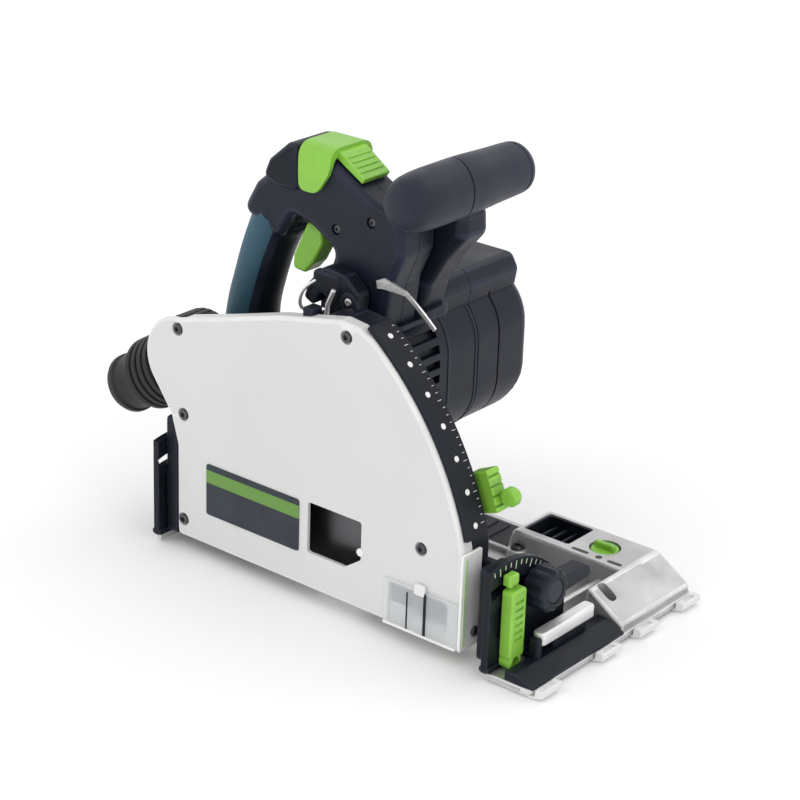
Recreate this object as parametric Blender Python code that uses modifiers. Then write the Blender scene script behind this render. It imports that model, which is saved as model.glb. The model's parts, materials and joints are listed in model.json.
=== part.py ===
"""Track plunge saw for a 168 mm blade, modelled as an assembly of separate pieces.

Frame: +X is the cutting direction, +Y the motor side, +Z up. Z = 0 is the sole's running face,
X = 0 lies under the saw spindle with the blade retracted, Y = 0 is the middle of the inner glide strip.
Dimensions are in millimetres and are turned into metres where a shape is made.
"""

from math import acos, asin, atan2, cos, degrees, hypot, pi, radians, sin

import bmesh
import bpy
from mathutils import Matrix

MM = 0.001
GAP = 0.3                      # clearance between pieces that touch

# Driving dimensions
BLADE_RADIUS = 84.0
BLADE_THICKNESS = 1.2
BLADE_TEETH = 42
BLADE_Y = -56.0
SPINDLE_Z = 92.0
PLUNGE_PIVOT = (-84.0, 25.0)   # x, z of the axle on which the motor unit swings
BEVEL_AXIS = (-60.0, 12.0)     # y, z of the line on which the guard tilts
MOTOR_AXIS = (-15.1, 110.0)    # x, z
GEAR_MODULE = 1.0
SPINDLE_GEAR_TEETH = 35
PINION_TEETH = 12

# Base
BASE_REAR, BASE_FRONT = -134.0, 180.0
BASE_RIGHT, BASE_LEFT = -74.0, 102.0
PLATE_LOW, PLATE_TOP = 2.1, 6.0
GIRDER_TOP = 26.0
GIRDER_Y = (60.0, 101.0)
STRIP_WIDTH = 20.0
STRIP_ROWS = {"inner": 0.0, "middle": 41.0, "outer": 89.0}
FRONT_DIAL = (124.0, 80.0)     # x, y of the dials that take up the play on a guide rail
REAR_DIAL = (-112.0, 60.0)
DIAL_RADIUS = 9.5

# Guard
COVER_OUTER, COVER_INNER = -70.0, -60.0
HOUSING_OUTER, HOUSING_INNER = -59.7, -43.0
GUARD_BOTTOM = 9.5
GUARD_WALL = 2.5
SCALE_RADIUS = 211.5           # guard's front curve, about the plunge pivot
DUST_AXIS = (-113.4, 133.0)    # x, z
DUST_DRUM_RADIUS = 28.0
DUST_TILT = 32.0               # degrees below the horizontal, to the rear
DUST_TUBE_Y = -45.0
DUST_TUBE_REACH = 82.0

# Bevel: upright segments on the base, trunnions on the guard, clamp bolts through both
CLAMP_RADIUS = 48.0
CLAMP_ANGLE = 54.0
BEVEL_TRAVEL = 54.0            # length of the curved slots past the bolts, in degrees
SEGMENT_RADIUS = 64.0
FRONT_SEGMENT = (143.0, 148.0)
REAR_SEGMENT = (-131.0, -126.3)
FRONT_TRUNNION = (134.0, 142.5)
REAR_TRUNNION = (-125.6, -116.0)
BOLT_RADIUS = 3.0
HOLE_RADIUS = 3.4

# Motor unit
HANDLE_Y = -5.0
HANDLE_HALF = 17.0
HOUSING_BOX = (-62.0, 73.0, 17.0, 175.0)
ROOF_Z = 187.0                 # flat top of the air duct over the motor
ROOF_FRONT_Y = 42.0
HOUSING_CORNER = 36.0
MOTOR_FRONT_Y, MOTOR_SEAM_Y, MOTOR_END_Y = -11.7, 76.0, 133.0
FRONT_HANDLE = (37.0, 264.0)   # x, z of the bar's centre line
FRONT_HANDLE_RADIUS = 19.0
GRIP_RADIUS = 18.3
GRIP_CORE_HALF = 9.0
TRIGGER_HINGE = (-50.0, 224.0)
LEVER_HINGE = (-3.0, 190.0)
SPEED_DIAL = (-60.0, 136.0)
INLET_Z = 108.0


def clear_scene():
    for item in list(bpy.data.objects):
        bpy.data.objects.remove(item, do_unlink=True)


def collection(name):
    group = bpy.data.collections.new(name)
    bpy.context.scene.collection.children.link(group)
    return group


clear_scene()
PARTS = collection("track_plunge_saw")
CUTTERS = collection("cutters")


def material(name, colour, roughness, metallic):
    made = bpy.data.materials.new(name)
    made.use_nodes = True
    shader = made.node_tree.nodes["Principled BSDF"]
    shader.inputs["Base Color"].default_value = (*colour, 1.0)
    shader.inputs["Roughness"].default_value = roughness
    shader.inputs["Metallic"].default_value = metallic
    return made


FINISHES = {
    "cover_paint": ((0.74, 0.74, 0.73), 0.35, 0.0),
    "cast_alloy": ((0.58, 0.58, 0.58), 0.42, 0.6),
    "black_plastic": ((0.018, 0.02, 0.026), 0.45, 0.0),
    "housing_plastic": ((0.03, 0.033, 0.045), 0.4, 0.0),
    "grip_rubber": ((0.045, 0.085, 0.115), 0.6, 0.0),
    "soft_grip": ((0.055, 0.06, 0.075), 0.7, 0.0),
    "green_plastic": ((0.2, 0.56, 0.05), 0.35, 0.0),
    "steel": ((0.62, 0.62, 0.63), 0.25, 1.0),
    "dark_steel": ((0.12, 0.12, 0.13), 0.4, 0.9),
    "glide_plastic": ((0.7, 0.7, 0.7), 0.4, 0.0),
    "clear_window": ((0.75, 0.78, 0.8), 0.1, 0.0),
    "label": ((0.02, 0.03, 0.06), 0.4, 0.0),
    "copper": ((0.7, 0.32, 0.16), 0.35, 0.9),
    "board": ((0.02, 0.16, 0.08), 0.5, 0.0),
}
MATERIALS = {name: material(name, *values) for name, values in FINISHES.items()}


# Shapes ---------------------------------------------------------------------------------------

AXIS_TURN = {
    "x": Matrix(((0, 0, 1, 0), (1, 0, 0, 0), (0, 1, 0, 0), (0, 0, 0, 1))),
    "y": Matrix(((1, 0, 0, 0), (0, 0, -1, 0), (0, 1, 0, 0), (0, 0, 0, 1))),
    "z": Matrix.Identity(4),
}


def along(axis, centre, low, high):
    """Matrix that puts a shape, made about local Z and centred, along a world axis."""
    middle = (low + high) / 2
    first, second = centre
    place = {"x": (middle, first, second), "y": (first, middle, second), "z": (first, second, middle)}
    return Matrix.Translation([value * MM for value in place[axis]]) @ AXIS_TURN[axis]


def add_mesh(name, mesh, matrix, finish):
    made = bpy.data.objects.new(name, mesh)
    made.matrix_world = matrix
    if finish is None:
        CUTTERS.objects.link(made)
        made.hide_render = True
        made.display_type = "WIRE"
    else:
        PARTS.objects.link(made)
        mesh.materials.clear()
        mesh.materials.append(MATERIALS[finish])
    return made


def curve_to_mesh(name, curve, matrix, finish):
    """Make a curve's surface into a closed mesh object."""
    holder = bpy.data.objects.new(name + "_curve", curve)
    bpy.context.scene.collection.objects.link(holder)
    holder.matrix_world = matrix
    bpy.context.view_layer.update()
    graph = bpy.context.evaluated_depsgraph_get()
    mesh = bpy.data.meshes.new_from_object(holder.evaluated_get(graph))
    mesh.name = name
    bpy.data.objects.remove(holder, do_unlink=True)
    bpy.data.curves.remove(curve)
    work = bmesh.new()
    work.from_mesh(mesh)
    bmesh.ops.remove_doubles(work, verts=work.verts, dist=0.000002)
    bmesh.ops.recalc_face_normals(work, faces=work.faces)
    work.to_mesh(mesh)
    work.free()
    return add_mesh(name, mesh, matrix, finish)


def prism(name, finish, axis, outline, low, high, holes=()):
    """A flat outline pushed along an axis: (x, z) along y, (y, z) along x, (x, y) along z."""
    curve = bpy.data.curves.new(name, "CURVE")
    curve.dimensions = "2D"
    curve.fill_mode = "BOTH"
    curve.extrude = (high - low) / 2 * MM
    for loop in (outline, *holes):
        spline = curve.splines.new("POLY")
        spline.points.add(len(loop) - 1)
        for point, (first, second) in zip(spline.points, loop):
            point.co = (first * MM, second * MM, 0.0, 1.0)
        spline.use_cyclic_u = True
    return curve_to_mesh(name, curve, along(axis, (0.0, 0.0), low, high), finish)


def tube(name, finish, points, radius, resolution=2):
    """A round bar along a smooth run of points."""
    curve = bpy.data.curves.new(name, "CURVE")
    curve.dimensions = "3D"
    curve.bevel_depth = radius * MM
    curve.bevel_resolution = resolution
    curve.use_fill_caps = True
    spline = curve.splines.new("POLY")
    spline.points.add(len(points) - 1)
    for point, place in zip(spline.points, points):
        point.co = (*[value * MM for value in place], 1.0)
    return curve_to_mesh(name, curve, Matrix.Identity(4), finish)


def box(name, finish, low, high, edge=0.0):
    mesh = bpy.data.meshes.new(name)
    work = bmesh.new()
    bmesh.ops.create_cube(work, size=1.0)
    size = [(b - a) * MM for a, b in zip(low, high)]
    bmesh.ops.scale(work, vec=size, verts=work.verts)
    work.to_mesh(mesh)
    work.free()
    middle = [(a + b) / 2 * MM for a, b in zip(low, high)]
    made = add_mesh(name, mesh, Matrix.Translation(middle), finish)
    if edge:
        round_edges(made, edge)
    return made


def cylinder(name, finish, axis, centre, radius, low, high, sides=28):
    mesh = bpy.data.meshes.new(name)
    work = bmesh.new()
    bmesh.ops.create_cone(work, cap_ends=True, segments=sides, depth=(high - low) * MM,
                          radius1=radius * MM, radius2=radius * MM)
    work.to_mesh(mesh)
    work.free()
    return add_mesh(name, mesh, along(axis, centre, low, high), finish)


def ring(name, finish, axis, centre, inner, outer, low, high, sides=24):
    """A turned ring: a rectangular profile swept round the axis."""
    half = (high - low) / 2
    profile = [(outer, half), (outer, -half), (inner, -half), (inner, half)]
    return turned(name, finish, axis, centre, profile, low, high, sides)


def turned(name, finish, axis, centre, profile, low, high, sides=24):
    """A closed profile of (radius, height) turned round the axis with a Screw modifier."""
    mesh = bpy.data.meshes.new(name)
    work = bmesh.new()
    corners = [work.verts.new((r * MM, 0.0, h * MM)) for r, h in profile]
    for first, second in zip(corners, corners[1:] + corners[:1]):
        work.edges.new((first, second))
    work.to_mesh(mesh)
    work.free()
    made = add_mesh(name, mesh, along(axis, centre, low, high), finish)
    screw = made.modifiers.new("Screw", "SCREW")
    screw.axis = "Z"
    screw.steps = sides
    screw.render_steps = sides
    screw.use_merge_vertices = True
    screw.merge_threshold = 0.00001
    return made


def combine(target, operation, *tools):
    """Boolean each tool into the target, and keep the tools as hidden guides."""
    for tool in tools:
        if tool.name not in CUTTERS.objects:
            PARTS.objects.unlink(tool)
            CUTTERS.objects.link(tool)
            tool.hide_render = True
            tool.display_type = "WIRE"
        step = target.modifiers.new(operation.title(), "BOOLEAN")
        step.operation = operation
        step.object = tool
        step.solver = "EXACT"
    return target


def cut(target, *tools):
    return combine(target, "DIFFERENCE", *tools)


def join(target, *tools):
    return combine(target, "UNION", *tools)


def round_edges(target, width, segments=1, angle=40.0):
    bevel = target.modifiers.new("Rounded edges", "BEVEL")
    bevel.width = width * MM
    bevel.segments = segments
    bevel.limit_method = "ANGLE"
    bevel.angle_limit = radians(angle)
    bevel.use_clamp_overlap = True
    return target


# Outlines -------------------------------------------------------------------------------------

def arc(centre, radius, start, end, steps):
    """Points on an arc, angles in degrees."""
    angles = [radians(start + (end - start) * step / steps) for step in range(steps + 1)]
    return [(centre[0] + radius * cos(a), centre[1] + radius * sin(a)) for a in angles]


def rounded_box(low_a, low_b, high_a, high_b, radius, steps=6):
    corners = [((high_a - radius, low_b + radius), -90), ((high_a - radius, high_b - radius), 0),
               ((low_a + radius, high_b - radius), 90), ((low_a + radius, low_b + radius), 180)]
    return [p for centre, start in corners for p in arc(centre, radius, start, start + 90, steps)]


def strap(first, first_radius, second, second_radius, steps=10):
    """The outline of a belt pulled round two circles."""
    run = hypot(second[0] - first[0], second[1] - first[1])
    heading = degrees(atan2(second[1] - first[1], second[0] - first[0]))
    lean = degrees(acos((first_radius - second_radius) / run))
    near = arc(first, first_radius, heading + lean, heading + 360 - lean, steps)
    far = arc(second, second_radius, heading - lean, heading + lean, steps)
    return near + far


def gear_outline(centre, teeth, phase=0.0):
    """Straight-sided teeth with backlash; phase is in teeth."""
    pitch_radius = teeth * GEAR_MODULE / 2
    step = 360.0 / teeth
    corners = [(-0.30, -1.2), (-0.10, 0.9), (0.10, 0.9), (0.30, -1.2)]
    points = []
    for tooth in range(teeth):
        for offset, height in corners:
            angle = radians((tooth + phase + offset) * step)
            radius = pitch_radius + height * GEAR_MODULE
            points.append((centre[0] + radius * cos(angle), centre[1] + radius * sin(angle)))
    return points


def circle(centre, radius, sides=20):
    return arc(centre, radius, 0, 360 - 360 / sides, sides - 1)


def turn_about(point, centre, angle):
    a = radians(angle)
    dx, dz = point[0] - centre[0], point[1] - centre[1]
    return (centre[0] + dx * cos(a) - dz * sin(a), centre[1] + dx * sin(a) + dz * cos(a))


# Bodies: an empty on each joint's axis, which its pieces follow --------------------------------

BODIES = {}


def make_body(name, parent, place):
    empty = bpy.data.objects.new(name + "_joint", None)
    empty.empty_display_size = 0.02
    PARTS.objects.link(empty)
    empty["place"] = [value * MM for value in place]
    empty.matrix_world = Matrix.Translation(empty["place"])
    BODIES[name] = empty
    if parent:
        attach(empty, parent)


def attach(item, name):
    holder = BODIES[name]
    item.parent = holder
    item.matrix_parent_inverse = Matrix.Translation(holder["place"]).inverted()


def make_bodies():
    pivot_x, pivot_z = PLUNGE_PIVOT
    bevel_y, bevel_z = BEVEL_AXIS
    clamp_y, clamp_z = clamp_place()
    places = {
        "base": (None, (0, 0, 0)),
        "guard": ("base", (0, bevel_y, bevel_z)),
        "motor_unit": ("guard", (pivot_x, HANDLE_Y, pivot_z)),
        "blade_shaft": ("motor_unit", (0, BLADE_Y, SPINDLE_Z)),
        "rotor": ("motor_unit", (MOTOR_AXIS[0], 0, MOTOR_AXIS[1])),
        "dust_port": ("guard", (DUST_AXIS[0], -45, DUST_AXIS[1])),
        "depth_stop": ("guard", (pivot_x, -36, pivot_z)),
        "depth_stop_button": ("depth_stop", (pivot_x, -36, pivot_z)),
        "front_bevel_knob": ("guard", (150, clamp_y, clamp_z)),
        "rear_bevel_knob": ("guard", (-134, clamp_y, clamp_z)),
        "bevel_release": ("guard", (150, bevel_y, bevel_z)),
        "splinter_guard": ("guard", (117, -57, 20)),
        "trigger": ("motor_unit", (TRIGGER_HINGE[0], HANDLE_Y, TRIGGER_HINGE[1])),
        "lock_off": ("motor_unit", (-38, HANDLE_Y, 278)),
        "blade_change_lever": ("motor_unit", (LEVER_HINGE[0], -28, LEVER_HINGE[1])),
        "speed_dial": ("motor_unit", (SPEED_DIAL[0], 50, SPEED_DIAL[1])),
        "front_guide_dial": ("base", (*FRONT_DIAL, GIRDER_TOP)),
        "rear_guide_dial": ("base", (*REAR_DIAL, PLATE_TOP)),
    }
    for name, (parent, place) in places.items():
        make_body(name, parent, place)


def clamp_place():
    """Y and Z of the clamp bolts with the saw upright."""
    a = radians(CLAMP_ANGLE)
    return BEVEL_AXIS[0] + CLAMP_RADIUS * cos(a), BEVEL_AXIS[1] + CLAMP_RADIUS * sin(a)


# Base -----------------------------------------------------------------------------------------

def base_plate():
    """Cast plate, notched for the blade, with a hollow girder and ribs on top."""
    outline = rounded_box(BASE_REAR, BASE_RIGHT, BASE_FRONT, BASE_LEFT, 8, 3)
    slab = prism("base_plate", "cast_alloy", "z", outline, PLATE_LOW, PLATE_TOP)
    notch = box("cut_blade_notch", None, (REAR_SEGMENT[1] + 0.4, -90, -5), (FRONT_SEGMENT[0] - 0.1, -34, 40))
    gear_notch = box("cut_gear_notch", None, (-44, -36, -5), (58, -8, 40))
    cut(slab, notch, gear_notch)
    girder = [(58, PLATE_TOP - 1), (64, GIRDER_TOP), (150, GIRDER_TOP), (176, 12), (176, PLATE_TOP - 1)]
    apron = [(146, PLATE_TOP - 1), (150, GIRDER_TOP), (156, GIRDER_TOP), (178, 9), (178, PLATE_TOP - 1)]
    low_side = box("add_left_rim", None, (-130, 97, PLATE_TOP - 1), (60, 101, PLATE_TOP + 1.6))
    rear_rim = box("add_rear_rim", None, (-133, 6, PLATE_TOP - 1), (-129, 101, 14))
    cross_rib = box("add_cross_rib", None, (84, -32, PLATE_TOP - 1), (88, 62, 14))
    front_rib = box("add_front_rib", None, (132, -32, PLATE_TOP - 1), (136, 62, 14))
    join(slab, prism("add_girder", None, "y", girder, *GIRDER_Y),
         prism("add_apron", None, "y", apron, 24, 60.5), low_side, rear_rim, cross_rib, front_rib)
    pocket = box("cut_pocket", None, (70, 70, 12), (104, 93, 40))
    underside = box("cut_girder_hollow", None, (72, 66, -5), (142, 96, 9))
    dial_seat = cylinder("cut_dial_seat", None, "z", FRONT_DIAL, 10.5, 20, 40, 24)
    slots = [box(f"cut_slot_{x}", None, (x, 63.5, 20), (x + 12, 66.5, 40)) for x in (108, 134)]
    return cut(slab, pocket, underside, dial_seat, *slots)


def glide_strip(name, row, rear):
    half = STRIP_WIDTH / 2
    side = [(rear, 0), (180.5, 0), (187, 2.5), (187, 7), (181, 7), (180.6, 1.8), (rear, 1.8)]
    return prism(name, "glide_plastic", "y", side, row - half, row + half)


def angle_segment(name, back, front):
    """Upright plate with a curved slot in which a clamp bolt of the guard travels."""
    centre = BEVEL_AXIS
    low = PLATE_TOP + GAP
    left_side = -76.0
    top_left = degrees(acos((left_side - centre[0]) / SEGMENT_RADIUS))
    outline = [(left_side, low), (2, low)] + arc(centre, SEGMENT_RADIUS, 16, top_left, 12)
    half = HOLE_RADIUS + 0.2
    slot = arc(centre, CLAMP_RADIUS + half, CLAMP_ANGLE - 8, CLAMP_ANGLE + BEVEL_TRAVEL, 10)
    slot += arc(centre, CLAMP_RADIUS - half, CLAMP_ANGLE + BEVEL_TRAVEL, CLAMP_ANGLE - 8, 10)
    return prism(name, "black_plastic", "x", outline, back, front, [slot, circle(centre, HOLE_RADIUS)])


def guide_dial(name, centre, low):
    """Round dial with a grip bar across its top."""
    x, y = centre
    dial = cylinder(name, "green_plastic", "z", centre, DIAL_RADIUS, low, low + 5, 24)
    return join(dial, box("add_" + name, None, (x - 8, y - 2, low + 4.5), (x + 8, y + 2, low + 9)))


def make_base():
    pieces = [base_plate()]
    pieces += [glide_strip(f"glide_strip_{name}", row, -130) for name, row in STRIP_ROWS.items()]
    pieces.append(glide_strip("glide_pad_front", -62, 144))
    pieces.append(angle_segment("front_angle_segment", *FRONT_SEGMENT))
    pieces.append(angle_segment("rear_angle_segment", *REAR_SEGMENT))
    foot = box("add_bar_foot", None, (150, -30, PLATE_TOP + GAP), (165, 4, 20))
    pieces.append(round_edges(join(box("cross_bar", "steel", (158, -46, 19), (167, 9, 28)), foot), 1.5))
    for piece in pieces:
        attach(piece, "base")
    attach(guide_dial("front_guide_dial", FRONT_DIAL, 20.3), "front_guide_dial")
    attach(guide_dial("rear_guide_dial", REAR_DIAL, PLATE_TOP + GAP), "rear_guide_dial")


# Guard ----------------------------------------------------------------------------------------

def guard_front(radius, low_z):
    """The curved front edge, from the top corner down to the given height."""
    top, bottom = 55.0, degrees(asin((low_z - PLUNGE_PIVOT[1]) / radius))
    return arc(PLUNGE_PIVOT, radius, top, bottom, 14)


def cover_outline(inset=0.0):
    """The cover seen from its outer side, with the round lobe over the dust port's drum."""
    lobe = arc(DUST_AXIS, 29.5 - inset, 90, 215, 10)
    front = guard_front(SCALE_RADIUS - inset, 76 - inset)
    rear = [(-121 + inset, 94), (-115 + inset, 74), (-115 + inset, GUARD_BOTTOM)]
    top = [(35.5 - inset, 196 - inset), (22, 197.5 - inset), (-28, 187 - inset), (-72, 174 - inset)]
    return top + lobe + rear + [(front[-1][0], GUARD_BOTTOM)] + front[::-1][:-2]


def housing_outline(inset=0.0):
    front = guard_front(SCALE_RADIUS - inset, 76 - inset)
    top = [(35.5 - inset, 196 - inset), (22, 197.5 - inset), (2, 193 - inset), (-6, 183 - inset),
           (-72, 165 - inset), (-100, 155 - inset), (-100, 110), (-115 + inset, 100)]
    return top + [(-115 + inset, GUARD_BOTTOM), (front[-1][0], GUARD_BOTTOM)] + front[::-1][:-2]


def lowered(outline, floor):
    """Move the bottom corners of an outline down, so that a pocket runs out of the edge."""
    return [(x, floor if abs(z - GUARD_BOTTOM) < 0.01 else z) for x, z in outline]


def blade_cover():
    cover = prism("blade_cover", "cover_paint", "y", cover_outline(), COVER_OUTER, COVER_INNER)
    inside = lowered(housing_outline(GUARD_WALL), 0)
    pocket = prism("cut_cover_pocket", None, "y", inside, COVER_OUTER + 2, 0)
    lobe = box("cut_cover_lobe", None, (-160, COVER_OUTER + 2, 84), (-108, 0, 200))
    corners = [(-1, 35), (30, 35), (43, 44), (43, 70), (-1, 70)]
    window = prism("cut_blade_window", None, "y", corners, -80, -65)
    view = box("cut_view_opening", None, (66, -80, 0), (112, -65, 38))
    drum = cylinder("cut_cover_drum", None, "y", DUST_AXIS, DUST_DRUM_RADIUS + 0.5, COVER_OUTER + 2, 0, 36)
    return cut(cover, pocket, lobe, window, view, drum)


def inner_guard_housing():
    """Black inner half of the guard; its wall has a curved opening for the spindle's nose."""
    outline, inside = housing_outline(), lowered(housing_outline(GUARD_WALL), 0)
    shell = prism("inner_guard_housing", "black_plastic", "y", outline, HOUSING_OUTER, HOUSING_INNER)
    pocket = prism("cut_housing_pocket", None, "y", inside, -80, HOUSING_INNER - 3)
    reach = hypot(PLUNGE_PIVOT[0], SPINDLE_Z - PLUNGE_PIVOT[1])
    sweep = arc(PLUNGE_PIVOT, reach + 19, -30, 50, 16) + arc(PLUNGE_PIVOT, reach - 19, 50, -30, 16)
    opening = prism("cut_spindle_sweep", None, "y", sweep, -80, 0)
    drum = cylinder("cut_drum_seat", None, "y", DUST_AXIS, DUST_DRUM_RADIUS + 0.5, -80, 0, 36)
    axle = cylinder("cut_axle_seat", None, "y", PLUNGE_PIVOT, 6.4, -80, 0, 24)
    return cut(shell, pocket, opening, drum, axle)


def viewing_window():
    """Clear panel over the opening at the front, turned round the guard's front edge."""
    plan = [(64, -72.3), (124.2, -72.3), (124.2, -53), (121.7, -53), (121.7, -70.3), (64, -70.3)]
    panel = prism("viewing_window", "clear_window", "z", plan, 11, 41)
    edge = box("add_window_edge", None, (121.9, -72.1, 30), (124.0, -53.2, 75))
    tab = box("add_window_tab", None, (88, -73.3, 38), (96, -70.8, 45))
    return join(panel, edge, tab)


def depth_scale():
    outline = arc(PLUNGE_PIVOT, SCALE_RADIUS + 3.2, 15.5, 54, 20)
    outline += arc(PLUNGE_PIVOT, SCALE_RADIUS + GAP, 54, 15.5, 20)
    return prism("depth_scale_strip", "black_plastic", "y", outline, -67.5, -47)


def cover_screw(number, x, z):
    head = (COVER_OUTER - 1.5, COVER_OUTER - GAP)
    screw = cylinder(f"cover_screw_{number}", "dark_steel", "y", (x, z), 3.2, *head, 16)
    socket = cylinder(f"cut_screw_{number}", None, "y", (x, z), 1.7, -90, COVER_OUTER - 0.8, 6)
    return cut(screw, socket)


def trunnion(name, back, front, pin_back, pin_front):
    """Plate at one end of the guard with the bevel pin and a hole for the clamp bolt."""
    bolt = clamp_place()
    outline = [(-69, 8.5), (-46, 8.5), (-38, 22), (bolt[0] + 9, bolt[1] - 10), (bolt[0] + 9, bolt[1] + 8),
               (bolt[0] - 4, bolt[1] + 12), (-48, 70), (-69, 70)]
    plate = prism(name, "black_plastic", "x", outline, back, front, [circle(bolt, HOLE_RADIUS)])
    pin = cylinder("add_pin_" + name, None, "x", BEVEL_AXIS, BOLT_RADIUS, pin_back, pin_front, 20)
    return join(plate, pin)


def dust_tube(name, near, far, radius):
    """A round bar on the dust port's axis, between two distances from the drum's centre."""
    x, z = DUST_AXIS
    tilt = radians(180 + DUST_TILT)
    ends = [(x + cos(tilt) * s, DUST_TUBE_Y, z + sin(tilt) * s) for s in (near, far)]
    return tube(name, None, ends, radius, 4)


def dust_port():
    """Drum and tube in one, which swings about the drum's axis."""
    x, z = DUST_AXIS
    low_y, high_y = COVER_OUTER + 2.4, -40
    drum = cylinder("dust_port", "black_plastic", "y", DUST_AXIS, DUST_DRUM_RADIUS, low_y, high_y, 36)
    ribs = [dust_tube(f"add_dust_rib_{at}", at, at + 5, 24.5) for at in (31, 40, 49)]
    sleeve = dust_tube("add_dust_sleeve", 31, 56, 22.5)
    join(drum, dust_tube("add_dust_tube", 0, DUST_TUBE_REACH, 19), sleeve, *ribs)
    throat = cylinder("cut_dust_throat", None, "y", DUST_AXIS, 22, -66, -43, 28)
    inlet_side = box("cut_dust_inlet", None, (x, -64, z - 20), (x + 40, -46, z + 18))
    return cut(drum, dust_tube("cut_dust_bore", 4, 120, 15.5), throat, inlet_side)


def depth_stop():
    """Block that slides along the guard's front curve and stops the plunge."""
    start, end = 18.2, 25.2
    outline = arc(PLUNGE_PIVOT, 221, start, end, 4) + arc(PLUNGE_PIVOT, 205, end, start, 4)
    return prism("depth_stop", "green_plastic", "y", outline, -42.6, -31)


def depth_stop_button():
    angle = radians(20.5)
    spot = (PLUNGE_PIVOT[0] + 3 + 225 * cos(angle), PLUNGE_PIVOT[1] + 225 * sin(angle))
    return cylinder("depth_stop_button", "green_plastic", "y", spot, 6, -39, -30.5, 20)


def bevel_knob(name, near, far, bolt_end):
    """Wing knob with its clamp bolt; the wing points to the motor side."""
    bolt = clamp_place()
    low, high = min(near, far), max(near, far)
    hub = round_edges(cylinder(name, "black_plastic", "x", bolt, 14, low, high), 0.8)
    wing_end = (high - 1, bolt[0] + 40, bolt[1] + 6)
    wing = box("add_wing_" + name, None, (low + 1, bolt[0], bolt[1] - 6), wing_end, 1.5)
    bolt_span = sorted((bolt_end, (low + high) / 2))
    shank = cylinder("add_bolt_" + name, None, "x", bolt, BOLT_RADIUS, *bolt_span, 20)
    return join(hub, wing, shank)


def bevel_release_lever():
    """Upright lever on the front bevel pin, which frees the tilt past its end stops."""
    y, z = BEVEL_AXIS
    low, high = FRONT_SEGMENT[1] + 0.6, FRONT_SEGMENT[1] + 9.5
    lever = box("bevel_release_lever", "green_plastic", (low, y - 6, z + 2), (high, y + 8, z + 48), 1.5)
    hub = cylinder("add_lever_hub", None, "x", BEVEL_AXIS, 5.6, low, high, 24)
    return cut(join(lever, hub), cylinder("cut_lever_hole", None, "x", BEVEL_AXIS, HOLE_RADIUS, 140, 170, 20))


def return_spring():
    """Torsion spring round the plunge axle: five turns of wire."""
    turns, steps, radius, low_y, length = 5, 10, 9.0, -20.0, 14.0
    x, z = PLUNGE_PIVOT
    coil = []
    for step in range(turns * steps + 1):
        angle = 2 * pi * step / steps
        y = low_y + length * step / (turns * steps)
        coil.append((x + radius * cos(angle), y, z + radius * sin(angle)))
    return tube("return_spring", "steel", coil, 1.1, 1)


def make_guard():
    pieces = [blade_cover(), inner_guard_housing(), viewing_window(), depth_scale()]
    pieces.append(box("label_plate", "label", (-88, COVER_OUTER - 0.9, 33), (-8, COVER_OUTER - GAP, 69)))
    for number, (x, z) in enumerate([(-114, 155), (-109, 22), (27, 188)], 1):
        pieces.append(cover_screw(number, x, z))
    front_arm = box("add_front_arm", None, (121.7, -51.5, 14), (135, -46, 66))
    pieces.append(join(trunnion("front_trunnion", *FRONT_TRUNNION, 135, 158), front_arm))
    pieces.append(trunnion("rear_trunnion", *REAR_TRUNNION, -138, -117))
    pieces.append(cylinder("plunge_axle", "steel", "y", PLUNGE_PIVOT, 6, -49, -4, 24))
    pieces.append(return_spring())
    for piece in pieces:
        attach(piece, "guard")
    attach(dust_port(), "dust_port")
    attach(depth_stop(), "depth_stop")
    attach(depth_stop_button(), "depth_stop_button")
    attach(bevel_knob("front_bevel_knob", FRONT_SEGMENT[1] + 0.6, 164, 133), "front_bevel_knob")
    attach(bevel_knob("rear_bevel_knob", REAR_SEGMENT[0] - 0.6, -148, -115), "rear_bevel_knob")
    attach(bevel_release_lever(), "bevel_release")
    attach(box("splinter_guard", "green_plastic", (106, -59.4, 8), (118.6, -57.6, 62), 0.4), "splinter_guard")


# Blade and gears ------------------------------------------------------------------------------

def blade():
    tooth_shape = [(0.0, 0.0), (0.35, -2.0), (0.92, -6.5)]      # share of a tooth, depth below the tip
    points = []
    for tooth in range(BLADE_TEETH):
        for share, depth in tooth_shape:
            angle = -2 * pi * (tooth + share) / BLADE_TEETH
            radius = BLADE_RADIUS + depth
            points.append((radius * cos(angle), SPINDLE_Z + radius * sin(angle)))
    half = BLADE_THICKNESS / 2
    bore = circle((0, SPINDLE_Z), 10, 28)
    return prism("saw_blade", "steel", "y", points, BLADE_Y - half, BLADE_Y + half, [bore])


def make_blade_shaft():
    centre = (0, SPINDLE_Z)
    pieces = [blade()]
    shaft = cylinder("spindle", "steel", "y", centre, 6.6, -61.8, -13, 24)
    hub = cylinder("add_blade_seat", None, "y", centre, 9.6, -57.2, -50, 28)
    bolt_hole = cylinder("cut_bolt_hole", None, "y", centre, 3.6, -70, -45, 20)
    pieces.append(cut(join(shaft, hub), bolt_hole))
    pieces.append(ring("inner_flange", "steel", "y", centre, 10, 19, -55.1, -50.6))
    pieces.append(ring("outer_flange", "steel", "y", centre, 10, 19, -61.4, -56.9))
    screw = cylinder("clamp_screw", "dark_steel", "y", centre, 9, -66, -62.1, 28)
    shank = cylinder("add_screw_shank", None, "y", centre, 3.2, -63, -46, 20)
    socket = cylinder("cut_screw_socket", None, "y", centre, 3.0, -80, -63.5, 6)
    pieces.append(cut(join(screw, shank), socket))
    gear = gear_outline(centre, SPINDLE_GEAR_TEETH)
    pieces.append(prism("spindle_gear", "dark_steel", "y", gear, -37, -27, [circle(centre, 7)]))
    for piece in pieces:
        attach(piece, "blade_shaft")


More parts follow.
